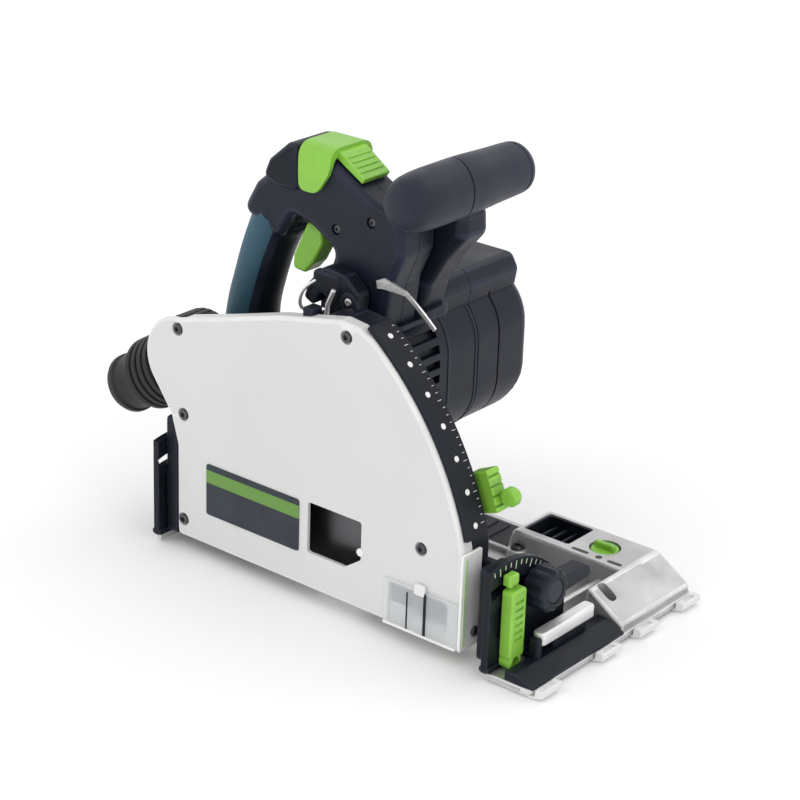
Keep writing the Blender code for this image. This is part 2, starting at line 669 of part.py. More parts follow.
def make_rotor():
    """Rotor shaft with its pinion; the pinion's teeth stand in the gaps of the spindle gear."""
    heading = degrees(atan2(MOTOR_AXIS[1] - SPINDLE_Z, MOTOR_AXIS[0]))
    contact_teeth = heading / 360 * SPINDLE_GEAR_TEETH
    phase = (heading + 180) / 360 * PINION_TEETH + 0.5 + (contact_teeth - round(contact_teeth))
    outline = gear_outline(MOTOR_AXIS, PINION_TEETH, phase)
    pieces = [prism("pinion", "dark_steel", "y", outline, -37.5, -26.5, [circle(MOTOR_AXIS, 3.3)])]
    shaft = cylinder("rotor_shaft", "steel", "y", MOTOR_AXIS, 3, -38.2, 120, 20)
    pieces.append(join(shaft, cylinder("add_rotor_core", None, "y", MOTOR_AXIS, 16, 14, 60, 32)))
    fan = ring("cooling_fan", "black_plastic", "y", MOTOR_AXIS, 3.4, 26, 82, 85)
    blade_count = 9
    blade_outline = [(MOTOR_AXIS[0] + a, MOTOR_AXIS[1] + b) for a, b in ((8, -1), (25, -1), (25, 1), (8, 1))]
    blades = []
    for number in range(blade_count):
        outline = [turn_about(point, MOTOR_AXIS, 360 / blade_count * number) for point in blade_outline]
        blades.append(prism(f"add_fan_blade_{number}", None, "y", outline, 84, 94))
    pieces.append(join(fan, *blades))
    for piece in pieces:
        attach(piece, "rotor")


# Motor unit -----------------------------------------------------------------------------------

def gear_case():
    """Case over the gear pair, with the arm that swings on the plunge axle."""
    centre = (0, SPINDLE_Z)
    motor_end, motor_radius = (-15, 112), 38
    low, high = -42.5, -22.3
    outline = strap(motor_end, motor_radius, centre, 21, 12)
    case = prism("gear_case", "housing_plastic", "y", outline, low, high)
    arm = prism("add_case_arm", None, "y", strap(motor_end, motor_radius, PLUNGE_PIVOT, 12, 10), low, high)
    nose = cylinder("add_case_nose", None, "y", centre, 17.5, -50, low + 1, 32)
    gear_room = prism("cut_gear_room", None, "y", strap(centre, 19.2, MOTOR_AXIS, 9, 12), -39.5, 0)
    bearing_seat = cylinder("cut_nose_bore", None, "y", centre, 14.3, -60, -30)
    axle_bore = cylinder("cut_axle_bore", None, "y", PLUNGE_PIVOT, 6.4, -60, 0, 24)
    return cut(join(case, arm, nose), gear_room, bearing_seat, axle_bore)


def bearing_bracket():
    """Alloy plate between gears and motor, with a bearing seat for each shaft."""
    bracket = cylinder("bearing_bracket", "cast_alloy", "y", (-12, 104), 33, -22, -12, 32)
    spindle_seat = cylinder("cut_spindle_seat", None, "y", (0, SPINDLE_Z), 11.3, -30, -12.8, 24)
    motor_seat = cylinder("cut_motor_seat", None, "y", MOTOR_AXIS, 8.3, -30, -13.5, 24)
    shaft_way = cylinder("cut_shaft_way", None, "y", MOTOR_AXIS, 3.6, -30, 0, 20)
    return cut(bracket, spindle_seat, motor_seat, shaft_way)


def motor_outline(inset=0.0):
    low_x, low_z, high_x, high_z = HOUSING_BOX
    corners = (low_x + inset, low_z + inset, high_x - inset, high_z - inset)
    return rounded_box(*corners, HOUSING_CORNER - inset, 6)


def roof_outline(inset=0.0):
    """Raised, flat-topped air duct along the motor housing, open to the housing below."""
    low, high = -47 + inset, 7 - inset
    return [(low, 165), (high, 165), (high + 2, 178), (high - 3, ROOF_Z - inset), (low + 3, ROOF_Z - inset),
            (low - 2, 178)]


def motor_housing():
    housing = prism("motor_housing", "housing_plastic", "y", motor_outline(), MOTOR_FRONT_Y, MOTOR_SEAM_Y,
                    [motor_outline(GUARD_WALL)])
    join(housing, prism("add_housing_roof", "housing_plastic", "y", roof_outline(), ROOF_FRONT_Y, MOTOR_SEAM_Y))
    cut(housing, prism("cut_housing_roof", None, "y", roof_outline(GUARD_WALL), ROOF_FRONT_Y + 2.5, 120))
    vents = [box(f"cut_vent_{z}", None, (5, 6, z), (30, 34, z + 6)) for z in range(104, 150, 10)]
    dial_way = box("cut_dial_way", None, (-75, 46, SPEED_DIAL[1] - 11), (-58, 54, SPEED_DIAL[1] + 11))
    return cut(housing, *vents, dial_way)


def motor_end_cap():
    """Cap over the fan, with the rear bearing's seat; its far end slopes in below the middle."""
    near_y = MOTOR_SEAM_Y + GAP
    cap = prism("motor_end_cap", "housing_plastic", "y", motor_outline(), near_y, MOTOR_END_Y)
    roof_end = MOTOR_END_Y - 3
    join(cap, prism("add_cap_roof", "housing_plastic", "y", roof_outline(), near_y, roof_end))
    round_edges(cap, 2.2)
    cut(cap, prism("cut_cap_roof", None, "y", roof_outline(GUARD_WALL + 0.3), 60, roof_end - 3))
    room = prism("cut_cap_room", None, "y", motor_outline(GUARD_WALL + 0.3), 0, MOTOR_END_Y - 4)
    slope = prism("cut_cap_slope", None, "x", [(118, 60), (150, 60), (150, 122), (MOTOR_END_Y, 118)], -90, 40)
    cut(cap, room, slope)
    seat = ring("add_cap_seat", None, "y", MOTOR_AXIS, 8.3, 12, 102, MOTOR_END_Y - 2)
    floor = prism("add_cap_floor", None, "x", [(113, 70), (116.5, 70), (131, 119), (128, 121)], -58, 13)
    return join(cap, floor, seat)


def handle_path():
    """Centre line of the rear grip, in x and z."""
    return [(-109, 126), (-110, 142), (-107.5, 160), (-102.5, 178), (-96, 198), (-88, 217), (-79, 233)]


def handle_shell(name, low, high, core_low, core_high):
    """One half of the main handle: top body, column and lower arm, with a slim core inside the grip."""
    top = [(16, 175.8), (20, 205), (29, 226), (29, 246), (2, 257), (-28, 274), (-50, 276), (-74, 263),
           (-93, 247), (-104.5, 226.5), (-72, 213), (-67, 224), (-62, 233), (-46, 229), (-25, 217),
           (-38, 186), (-38, 175.8)]
    arm = [(-62.6, 82), (-105, 84), (-126, 98), (-131, 118), (-126, 124), (-94, 124), (-86, 118),
           (-62.6, 112)]
    path = [(-108, 112)] + handle_path()
    half = GRIP_CORE_HALF
    core = [(x - half, z) for x, z in path] + [(x + half, z) for x, z in reversed(path)]
    shell = prism(name, "black_plastic", "y", top, low, high)
    join(shell, prism("add_arm_" + name, None, "y", arm, low, high),
         prism("add_core_" + name, None, "y", core, core_low, core_high))
    room_low, room_high = sorted((HANDLE_Y, HANDLE_Y + (14 if low > HANDLE_Y else -14)))
    switch_room = box("cut_switch_room_" + name, None, (-54, room_low - 1, 231), (-12, room_high + 1, 262))
    trigger_way = box("cut_trigger_way_" + name, None, (-64, -14.5, 215), (-42, 4.5, 240))
    return cut(shell, switch_room, trigger_way)


def handle_grip():
    """Soft sleeve round the core of the rear handle."""
    path = [(x, HANDLE_Y, z) for x, z in handle_path()]
    grip = tube("handle_grip", "grip_rubber", path[:-1], GRIP_RADIUS, 3)
    core = tube("cut_grip_core", None, [(-108, HANDLE_Y, 100)] + path + [(-60, HANDLE_Y, 262)], 14.9, 3)
    return cut(grip, core)


def front_handle_grip():
    grip = cylinder("front_handle_grip", "soft_grip", "y", FRONT_HANDLE, FRONT_HANDLE_RADIUS, 18.3, 82)
    bore = cylinder("cut_grip_bore", None, "y", FRONT_HANDLE, 9.4, 10, 71.5, 24)
    return cut(round_edges(grip, 5, 2), bore)


def front_handle_neck():
    """Bracket on the motor housing that carries the front handle's root."""
    outline = [(-30, 175.8), (16, 175.8), (22, 196), (34, 216), (48, 234), (46, 243), (28, 243), (8, 236),
               (-18, 216)]
    neck = prism("front_handle_neck", "black_plastic", "y", outline, 12.4, 40)
    saddle = box("add_neck_saddle", None, (24, 12.4, 236), (50, 18, 254))
    root = cylinder("add_handle_root", None, "y", FRONT_HANDLE, FRONT_HANDLE_RADIUS, -38, 18)
    spine = cylinder("add_handle_spine", None, "y", FRONT_HANDLE, 9, 0, 71, 24)
    return join(neck, saddle, root, spine)


def lock_off():
    """Saddle over the handle's top with a ribbed thumb rest that reaches forward."""
    outline = [(-50, 250), (-32, 250), (-27, 268), (-28, 281), (-48, 283), (-53, 270)]
    saddle = prism("lock_off", "green_plastic", "y", outline, HANDLE_Y - 20.4, HANDLE_Y + 20.4)
    reach = HANDLE_HALF + 0.4
    inside = box("cut_saddle", None, (-80, HANDLE_Y - reach, 200), (20, HANDLE_Y + reach, 277.2))
    slope = [(-34, 277.5), (-28, 275.2), (-8, 264), (-6, 267.6), (-26, 280.8)]
    rest = prism("add_thumb_rest", None, "y", slope, HANDLE_Y - 12, HANDLE_Y + 12)
    ribs = []
    for number in range(3):
        x, top = -21 + 5 * number, 278.2 - 3.05 * number
        low, high = (x, HANDLE_Y - 11, top - 4.2), (x + 2, HANDLE_Y + 11, top)
        ribs.append(box(f"add_thumb_rib_{number}", None, low, high))
    return join(cut(saddle, inside), rest, *ribs)


def trigger():
    outline = [(-56, 227), (-45, 226), (-44, 216), (-54, 200), (-63, 189), (-68, 190), (-67, 200), (-62, 214)]
    return round_edges(prism("trigger", "green_plastic", "y", outline, -13, 3), 1.5)


def blade_change_lever():
    outline = [(-12, 184), (6, 186), (7, 200), (-4, 210), (-22, 212), (-34, 199), (-38, 188), (-30, 184),
               (-24, 196)]
    return prism("blade_change_lever", "black_plastic", "y", outline, -36, -24)


def power_inlet():
    """Socket that takes the detachable cord, at the foot of the rear handle."""
    inlet = cylinder("power_inlet", "black_plastic", "x", (HANDLE_Y, INLET_Z), 12.5, -152, -131.6)
    return cut(inlet, cylinder("cut_inlet", None, "x", (HANDLE_Y, INLET_Z), 9.8, -170, -136))


def depth_pointer():
    """Thin bright pointer beside the depth scale, with the tab that holds it to the handle's side."""
    outline = arc(PLUNGE_PIVOT, 217, 49, 57, 5) + [(17, 211), (11, 208), (12, 203), (17, 204)]
    outline += arc(PLUNGE_PIVOT, 214.5, 56.5, 49, 4)
    return prism("depth_pointer", "steel", "y", outline, -24, -22.5)


def make_motor_unit():
    pieces = [gear_case(), bearing_bracket(), motor_housing(), motor_end_cap()]
    right_face, left_face = HANDLE_Y - GAP / 2, HANDLE_Y + GAP / 2
    pieces.append(handle_shell("handle_shell_right", HANDLE_Y - HANDLE_HALF, right_face, -15, right_face))
    pieces.append(handle_shell("handle_shell_left", left_face, HANDLE_Y + HANDLE_HALF, left_face, 5))
    pieces += [handle_grip(), front_handle_grip(), front_handle_neck(), power_inlet()]
    centre = (0, SPINDLE_Z)
    pieces.append(ring("spindle_bearing_outer", "steel", "y", centre, 7, 14, -49.5, -41))
    pieces.append(ring("spindle_bearing_inner", "steel", "y", centre, 7, 11, -21.5, -13.5))
    pieces.append(ring("motor_bearing_front", "steel", "y", MOTOR_AXIS, 3.4, 8, -21.5, -14))
    pieces.append(ring("motor_bearing_rear", "steel", "y", MOTOR_AXIS, 3.4, 8, 106, 113))
    pieces.append(ring("stator", "copper", "y", MOTOR_AXIS, 17.5, 28, 10, 64))
    pieces.append(box("control_board", "board", (-48, -4, 148), (4, 70, 152)))
    pieces.append(box("switch_body", "black_plastic", (-52, -17, 232.5), (-15, 7, 260)))
    pieces.append(depth_pointer())
    for piece in pieces:
        attach(piece, "motor_unit")
    attach(trigger(), "trigger")
    attach(lock_off(), "lock_off")
    attach(blade_change_lever(), "blade_change_lever")
    attach(cylinder("speed_dial", "green_plastic", "y", SPEED_DIAL, 9, 47, 53, 24), "speed_dial")


make_bodies()
make_base()
make_guard()
make_blade_shaft()
make_rotor()
make_motor_unit()
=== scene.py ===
"""Looks of the track plunge saw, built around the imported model.

Shapes are made in millimetres and turned into metres when a piece is finished. The frame is the
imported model's: +X is the cutting direction, +Y the motor side, +Z up, and the sole runs on Z = 0.
"""
import json
from math import atan2, cos, degrees, hypot, pi, radians, sin, sqrt

import bmesh
import bpy
from mathutils import Matrix, Vector


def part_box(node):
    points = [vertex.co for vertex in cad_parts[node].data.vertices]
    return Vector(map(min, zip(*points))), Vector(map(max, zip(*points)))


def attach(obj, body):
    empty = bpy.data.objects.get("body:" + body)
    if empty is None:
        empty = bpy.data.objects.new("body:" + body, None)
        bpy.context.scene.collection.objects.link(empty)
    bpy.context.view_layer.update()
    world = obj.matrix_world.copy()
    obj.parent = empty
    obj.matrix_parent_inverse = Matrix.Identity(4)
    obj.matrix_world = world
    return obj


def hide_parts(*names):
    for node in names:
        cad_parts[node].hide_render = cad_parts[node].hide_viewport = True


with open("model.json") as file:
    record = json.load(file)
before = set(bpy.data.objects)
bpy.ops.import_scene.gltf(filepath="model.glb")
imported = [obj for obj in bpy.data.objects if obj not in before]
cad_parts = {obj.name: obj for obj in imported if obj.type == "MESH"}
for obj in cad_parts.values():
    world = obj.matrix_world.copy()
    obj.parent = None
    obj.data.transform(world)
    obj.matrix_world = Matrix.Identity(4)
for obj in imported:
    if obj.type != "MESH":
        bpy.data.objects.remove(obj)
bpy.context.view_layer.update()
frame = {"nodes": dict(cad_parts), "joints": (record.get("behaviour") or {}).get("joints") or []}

MM = 0.001
JOINTS = {joint["name"]: joint for joint in frame["joints"]}


def joint_xz(name):
    place = JOINTS[name]["pos_m"]
    return place[0] / MM, place[2] / MM


def span(node, axis):
    """Lowest and highest value of a CAD node along one axis, in millimetres."""
    low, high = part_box(node)
    number = "xyz".index(axis)
    return low[number] / MM, high[number] / MM


# Main dimensions: read from the frame where it has them, otherwise the same numbers as the CAD's
PIVOT = joint_xz("plunge")
DUST_AXIS = joint_xz("dust_port_swivel")
SPINDLE = joint_xz("blade_spin")
BEVEL_YZ = tuple(value / MM for value in JOINTS["bevel_tilt"]["pos_m"][1:])
CLAMP_YZ = tuple(value / MM for value in JOINTS["front_knob_turn"]["pos_m"][1:])
SPEED_DIAL = joint_xz("speed_dial_turn")
COVER_Y = span("blade_cover", "y")
HOUSING_Y = span("inner_guard_housing", "y")
GUARD_BOTTOM = span("blade_cover", "z")[0]
SCALE_RADIUS = 211.5           # the guard's front curve, about the plunge pivot
HANDLE_Y = JOINTS["plunge"]["pos_m"][1] / MM
HANDLE_HALF, HANDLE_GAP = 17.0, 0.3
MOTOR_X, MOTOR_Z = span("motor_housing", "x"), span("motor_housing", "z")
MOTOR_Y = (span("motor_housing", "y")[0], span("motor_housing", "y")[1], span("motor_end_cap", "y")[1])
MOTOR_AXIS = joint_xz("rotor_spin")
ROOF_FRONT_Y = 42.0            # the air duct over the motor: where it starts, and its flat top
ROOF_Z = MOTOR_Z[1]
MOTOR_TOP = 175.0
FRONT_HANDLE = tuple(sum(span("front_handle_grip", axis)) / 2 for axis in "xz")
FRONT_HANDLE_Y = (span("front_handle_neck", "y")[0], span("front_handle_grip", "y")[1])
FRONT_SEGMENT, REAR_SEGMENT = (143, 148), (-131, -126.3)
COVER_WALL, HOUSING_WALL = 2.4, 2.5
DUST_SEAT, DUST_BORE = 28.5, 15.5
BOLT_HOLE = 3.4                # radius of the holes for the clamp bolts and bevel pins
BLADE_Y, BLADE_RADIUS, TEETH = -56.0, 84.0, 42
LEVER_PIN = (0, 194)           # where the blade-change lever's pin shows, in X and Z
INLET_YZ = (HANDLE_Y, 108)
PLATE_TOP = 6.0
GIRDER_TOP = span("base_plate", "z")[1]


# Flat outlines

def around(centre, radius, angle):
    """The point on a circle at an angle in degrees."""
    return centre[0] + radius * cos(radians(angle)), centre[1] + radius * sin(radians(angle))


def arc(centre, radius, start, end, steps):
    """Points on an arc, angles in degrees."""
    return [around(centre, radius, start + (end - start) * step / steps) for step in range(steps + 1)]


def circle(centre, radius, sides=32):
    return arc(centre, radius, 0, 360 - 360 / sides, sides - 1)


def fillet(points, radius, steps=4):
    """Round the corners that turn by more than a few degrees; radius may be one per point."""
    radii = radius if isinstance(radius, (list, tuple)) else [radius] * len(points)
    rounded = []
    for number, corner in enumerate(points):
        here = Vector(corner)
        before, after = Vector(points[number - 1]) - here, Vector(points[(number + 1) % len(points)]) - here
        turn = pi - before.angle(after, pi)
        if turn < radians(12) or radii[number] <= 0:
            rounded.append(tuple(corner))
            continue
        reach = radii[number] * abs(sin(turn / 2) / cos(turn / 2))
        reach = min(reach, 0.48 * before.length, 0.48 * after.length)
        first, last = here + before.normalized() * reach, here + after.normalized() * reach
        for step in range(steps + 1):
            t = step / steps
            rounded.append(tuple(first * (1 - t) ** 2 + here * 2 * t * (1 - t) + last * t ** 2))
    return rounded


def area(points):
    return sum(a[0] * b[1] - b[0] * a[1] for a, b in zip(points, points[1:] + points[:1])) / 2


def inset(points, distance):
    """Move an outline inwards by a distance, with mitred corners."""
    side = 1 if area(points) > 0 else -1
    moved = []
    for number, corner in enumerate(points):
        here = Vector(corner)
        back = (here - Vector(points[number - 1])).normalized()
        ahead = (Vector(points[(number + 1) % len(points)]) - here).normalized()
        normal = Vector((-back.y - ahead.y, back.x + ahead.x)) * side
        if normal.length < 1e-6:
            normal = Vector((-ahead.y, ahead.x)) * side
        normal.normalize()
        half = max(0.4, normal.dot(Vector((-ahead.y, ahead.x)) * side))
        moved.append(tuple(here + normal * distance / half))
    return moved


def box_outline(low_a, low_b, high_a, high_b, radius, steps=4):
    return fillet([(low_a, low_b), (high_a, low_b), (high_a, high_b), (low_a, high_b)], radius, steps)


def ring_part(centre, outer, inner, start, end, steps):
    """Part of a flat ring between two radii, angles in degrees."""
    return arc(centre, outer, start, end, steps) + arc(centre, inner, end, start, steps)


def wavy(centre, radius, depth, lobes, steps=4):
    """A round outline with shallow scallops."""
    count = lobes * steps
    return [around(centre, radius - depth * (0.5 - 0.5 * cos(2 * pi * n / steps)), 360 * n / count)
            for n in range(count)]


# Solids, as bmesh in millimetres

PUT = {"x": lambda a, b, h: (h, a, b), "y": lambda a, b, h: (a, h, b), "z": lambda a, b, h: (a, b, h)}


def cleaned(work):
    """Merge corners that fall together, and face every side outwards."""
    bmesh.ops.remove_doubles(work, verts=work.verts, dist=0.01)
    bmesh.ops.dissolve_degenerate(work, edges=work.edges, dist=0.005)
    bmesh.ops.recalc_face_normals(work, faces=work.faces)
    return work


def stitch(work, row, following):
    """Faces between two closed rows of corners; a row of one corner makes a fan."""
    for n in range(max(len(row), len(following)) if len(row) + len(following) > 2 else 0):
        corners = (row[n % len(row)], row[(n + 1) % len(row)],
                   following[(n + 1) % len(following)], following[n % len(following)])
        work.faces.new(list(dict.fromkeys(corners)))


def skin(rings):
    """Join rings of points into a tube, with a face over each end."""
    work = bmesh.new()
    rows = [[work.verts.new(point) for point in ring] for ring in rings]
    for row, following in zip(rows, rows[1:]):
        stitch(work, row, following)
    work.faces.new(rows[0])
    work.faces.new(rows[-1][::-1])
    return cleaned(work)


def slab(axis, outline, low, high, rim=0.5, far_rim=None, steps=3):
    """An outline pushed along an axis, with rounded rims at its low and high ends."""
    far_rim = rim if far_rim is None else far_rim
    levels = []
    for step in range(steps + 1 if rim else 1):
        a = pi / 2 * step / steps
        levels.append((rim * (1 - sin(a)), low + rim * (1 - cos(a))))
    for step in range(steps, -1, -1) if far_rim else (0,):
        a = pi / 2 * step / steps
        levels.append((far_rim * (1 - sin(a)), high - far_rim * (1 - cos(a))))
    put = PUT[axis]
    return skin([[put(a, b, height) for a, b in (inset(outline, shrink) if shrink else outline)]
                 for shrink, height in levels])


def block(low, high, corner=1.5, rim=0.8, axis="z"):
    """A box with rounded corners about one axis and rounded rims across it."""
    order = {"x": (1, 2, 0), "y": (0, 2, 1), "z": (0, 1, 2)}[axis]
    a, b, h = order
    outline = box_outline(low[a], low[b], high[a], high[b], corner)
    return slab(axis, outline, low[h], high[h], rim)


def pocket(low_x, low_y, high_x, high_y, corner, low, high, rim=0, steps=4):
    """An upright block with rounded corners: a cutter, or a plate when it has a rim."""
    return slab("z", box_outline(low_x, low_y, high_x, high_y, corner, steps), low, high, rim)


def turned(axis, centre, profile, steps=48):
    """A profile of (radius, height) turned about an axis; a radius of 0 closes an end."""
    put = PUT[axis]
    work = bmesh.new()
    rows = []
    for radius, height in profile:
        spots = circle(centre, radius, steps) if radius else [centre]
        rows.append([work.verts.new(put(a, b, height)) for a, b in spots])
    for row, following in zip(rows, rows[1:]):
        stitch(work, row, following)
    if len(rows[0]) > 1 and len(rows[-1]) > 1:
        stitch(work, rows[-1], rows[0])
    bmesh.ops.recalc_face_normals(work, faces=work.faces)
    return work


def disc_profile(radius, low, high, rim):
    """Profile of a solid disc with rounded rims."""
    if not rim:
        return [(0, low), (radius, low), (radius, high), (0, high)]
    corner = [(radius - rim * (1 - sin(pi / 2 * s / 4)), rim * (1 - cos(pi / 2 * s / 4))) for s in range(5)]
    return [(0, low)] + [(r, low + h) for r, h in corner] + [(r, high - h) for r, h in corner[::-1]] + [(0, high)]


def disc(axis, centre, radius, low, high, rim=0.5, steps=48):
    return turned(axis, centre, disc_profile(radius, low, high, rim), steps)


def smooth_path(points, count):
    """A Catmull-Rom curve through the points, sampled evenly in its parameter."""
    points = [Vector(point) for point in points]
    ends = [points[0] * 2 - points[1]] + points + [points[-1] * 2 - points[-2]]
    samples = []
    for step in range(count):
        t = step / (count - 1) * (len(points) - 1)
        number = min(int(t), len(points) - 2)
        t -= number
        a, b, c, d = ends[number:number + 4]
        samples.append(0.5 * (2 * b + (c - a) * t + (2 * a - 5 * b + 4 * c - d) * t * t
                              + (3 * b - a - 3 * c + d) * t ** 3))
    return samples


def sweep(path, section, side=Vector((0, 1, 0))):
    """Carry a section along a path. section(share) gives points (across, sideways) at that share of it."""
    rings = []
    for number, place in enumerate(path):
        before, after = path[max(number - 1, 0)], path[min(number + 1, len(path) - 1)]
        heading = (after - before).normalized()
        across = side.cross(heading).normalized()
        up = heading.cross(across)
        rings.append([place + across * a + up * b for a, b in section(number / (len(path) - 1))])
    return skin(rings)


def rod(points, radius, sides=14):
    """A round wire or bar with slightly rounded ends."""
    path = [Vector(point) for point in points]
    heading = (path[-1] - path[0]).normalized()
    side = Vector((0, 0, 1)) if abs(heading.z) < 0.9 else Vector((0, 1, 0))
    first, last = (path[1] - path[0]).normalized(), (path[-1] - path[-2]).normalized()
    path = [path[0], path[0] + first * radius * 0.3] + path[1:-1] + [path[-1] - last * radius * 0.3, path[-1]]
    count = len(path) - 1

    def section(share):
        number = round(share * count)
        size = radius * (0.7 if number in (0, count) else 1.0)
        return circle((0, 0), size, sides)
    return sweep(path, section, side)


def merge(*solids):
    """Put several solids into one."""
    whole = solids[0]
    for solid in solids[1:]:
        part = bpy.data.meshes.new("part")
        solid.to_mesh(part)
        whole.from_mesh(part)
        bpy.data.meshes.remove(part)
        solid.free()
    return whole


def placed(name, data):
    """A new object in the scene."""
    made = bpy.data.objects.new(name, data)
    bpy.context.scene.collection.objects.link(made)
    return made


def blocks(*rows):
    """Several blocks put into one solid; each row holds what block() takes."""
    return merge(*[block(*row) for row in rows])


def stand_in(solid, shift=0.0):
    """A temporary object; a shift of a few thousandths of a millimetre parts faces that coincide."""
    mesh = bpy.data.meshes.new("tool")
    solid.to_mesh(mesh)
    made = placed("tool", mesh)
    made.location = (shift, shift * 0.7, shift * 1.3)
    return made


def boolean_once(operation, target, tool, shift):
    whole, other = stand_in(target), stand_in(tool, shift)
    step = whole.modifiers.new(operation, "BOOLEAN")
    step.operation = operation
    step.object = other
    step.solver = "EXACT"
    bpy.context.view_layer.update()
    mesh = bpy.data.meshes.new_from_object(whole.evaluated_get(bpy.context.evaluated_depsgraph_get()))
    result = bmesh.new()
    result.from_mesh(mesh)
    bpy.data.meshes.remove(mesh)
    for made in (whole, other):
        used = made.data
        bpy.data.objects.remove(made, do_unlink=True)
        bpy.data.meshes.remove(used)
    return result


def combine(operation, target, *tools):
    """Boolean the tools into the target in turn; a result of an impossible volume is tried again, shifted."""
    for tool in tools:
        before, size = target.calc_volume(), tool.calc_volume()
        low, high = {"UNION": (max(before, size), before + size), "DIFFERENCE": (before - size, before),
                     "INTERSECT": (0.001 * min(before, size), min(before, size))}[operation]
        for shift in (0.0, 0.0031, -0.0043, 0.0087, -0.0131, 0.021):
            result = boolean_once(operation, target, tool, shift)
            volume = result.calc_volume()
            if result.faces and low - 0.01 * before - 1 < volume < high + 0.01 * before + 1:
                break
            result.free()
        else:
            raise RuntimeError(f"{operation} failed: {before:.0f} and {size:.0f} cubic mm")
        target.free()
        tool.free()
        target = result
    return target


def cut(target, *tools):
    return combine("DIFFERENCE", target, *tools)


def join(target, *tools):
    return combine("UNION", target, *tools)


def moved(solid, matrix):
    bmesh.ops.transform(solid, matrix=matrix, verts=solid.verts)
    return solid


def bevelled(solid, width, segments=2, limit=35.0):
    """Round the edges that turn by more than the limit."""
    sharp = [edge for edge in solid.edges
             if len(edge.link_faces) == 2 and edge.calc_face_angle(0) > radians(limit)]
    bmesh.ops.bevel(solid, geom=sharp, offset=width, segments=segments, profile=0.5, affect="EDGES",
                    clamp_overlap=True)
    return solid


# Materials

LOOKS = {}


class Shader:
    """A node material, kept in LOOKS: colour and roughness that vary softly, and a fine bump."""

    def __init__(self, name, colour, roughness, metallic=0.0, specular=0.5):
        self.base = colour
        material = LOOKS[name] = bpy.data.materials.new(name)
        material.use_nodes = True
        self.nodes, self.links = material.node_tree.nodes, material.node_tree.links
        self.main = self.nodes["Principled BSDF"]
        self.set(Metallic=metallic, Specular_IOR_Level=specular, Roughness=roughness, Base_Color=colour)
        self.place = self.nodes.new("ShaderNodeTexCoord").outputs["Object"]
        self.bump_from = None

    def fill(self, socket, value):
        """Link an output to a socket, or give the socket a value."""
        if isinstance(value, bpy.types.NodeSocket):
            self.links.new(value, socket)
        else:
            socket.default_value = (*value, 1) if socket.type == "RGBA" else value

    def set(self, **inputs):
        for name, value in inputs.items():
            self.fill(self.main.inputs[name.replace("_", " ")], value)

    def node(self, kind, **inputs):
        made = self.nodes.new(kind)
        for name, value in inputs.items():
            self.fill(made.inputs[name.replace("_", " ")], value)
        return made

    def maths(self, kind, operation, *values):
        made = self.nodes.new(kind)
        made.operation = operation
        for socket, value in zip(made.inputs, values):
            self.fill(socket, value)
        return made.outputs

    def noise(self, scale, detail=3.0, stretch=None):
        place = self.place
        if stretch:
            place = self.node("ShaderNodeMapping", Vector=place, Scale=stretch).outputs["Vector"]
        return self.node("ShaderNodeTexNoise", Vector=place, Scale=scale, Detail=detail).outputs["Fac"]

    def cells(self, scale):
        return self.node("ShaderNodeTexVoronoi", Vector=self.place, Scale=scale).outputs["Distance"]

    def ranged(self, value, low, high, start=0.3, end=0.7):
        made = self.node("ShaderNodeMapRange", Value=value, From_Min=start, From_Max=end, To_Min=low, To_Max=high)
        return made.outputs["Result"]

    def rim_wear_and_highlight(self, least=0.1):
        """How much a rounded edge is painted paler, partly as wear and partly as a painted highlight: nothing away
        from the edges, patchy along them.
        """
        rim = self.nodes.new("ShaderNodeAttribute")
        rim.attribute_name = "rim_wear_and_highlight"
        patchy = self.ranged(self.noise(45.0, 5.0), least, 1.0)
        return self.maths("ShaderNodeMath", "MULTIPLY", rim.outputs["Fac"], patchy)["Value"]

    def mix(self, share, first, second):
        made = self.nodes.new("ShaderNodeMix")
        made.data_type = "RGBA"
        sockets = [made.inputs["Factor"]] + [socket for socket in made.inputs if socket.type == "RGBA"]
        for socket, value in zip(sockets, (share, first, second)):
            self.fill(socket, value)
        return next(out for out in made.outputs if out.type == "RGBA")

    def cloudy(self, value, dark, light):
        """The base colour, varied between two factors by a noise."""
        return self.mix(self.ranged(value, 0.0, 1.0), shade(self.base, dark), shade(self.base, light))

    def rough(self, value, low, high):
        self.set(Roughness=self.ranged(value, low, high))

    def bump(self, height, depth, strength=1.0):
        """Add a bump of a height in metres; a second one is laid over the first."""
        made = self.node("ShaderNodeBump", Height=height, Distance=depth, Strength=strength)
        if self.bump_from is not None:
            self.links.new(self.bump_from, made.inputs["Normal"])
        self.bump_from = made.outputs["Normal"]
        self.set(Normal=self.bump_from)


def shade(colour, factor):
    return tuple(min(1.0, value * factor) for value in colour)


def moulded(name, colour, roughness, specular, grain=1500.0, depth=0.00004, edge=1.5):
    """Injection-moulded plastic: spark-eroded grain, and rounded edges painted paler, partly as rubbed wear and
    partly as a painted highlight.
    """
    made = Shader(name, colour, roughness, 0.0, specular)
    # Rounded edges go paler in patches: partly rubbed wear, partly a painted highlight.
    rubbed_and_highlit = made.rim_wear_and_highlight()
    made.set(Base_Color=made.mix(rubbed_and_highlit, made.cloudy(made.noise(22.0), 0.86, 1.12), shade(colour, edge)))
    made.rough(made.noise(45.0), roughness - 0.06, roughness + 0.08)
    made.bump(made.noise(grain, 2.0), depth, 0.5)


def rubber(name, colour, pale, roughness):
    """Soft overmould with a pebbled skin that scatters light at its edges."""
    made = Shader(name, colour, roughness, 0.0, 0.22)
    made.set(Sheen_Weight=0.12, Sheen_Roughness=0.5, Sheen_Tint=pale)
    cells = made.cells(950.0)
    made.set(Base_Color=made.cloudy(made.noise(16.0), 0.85, 1.2))
    made.rough(made.noise(60.0), roughness - 0.05, roughness + 0.1)
    made.bump(cells, 0.00009, 0.45)
    made.bump(made.noise(2200.0, 2.0), 0.00003, 0.4)


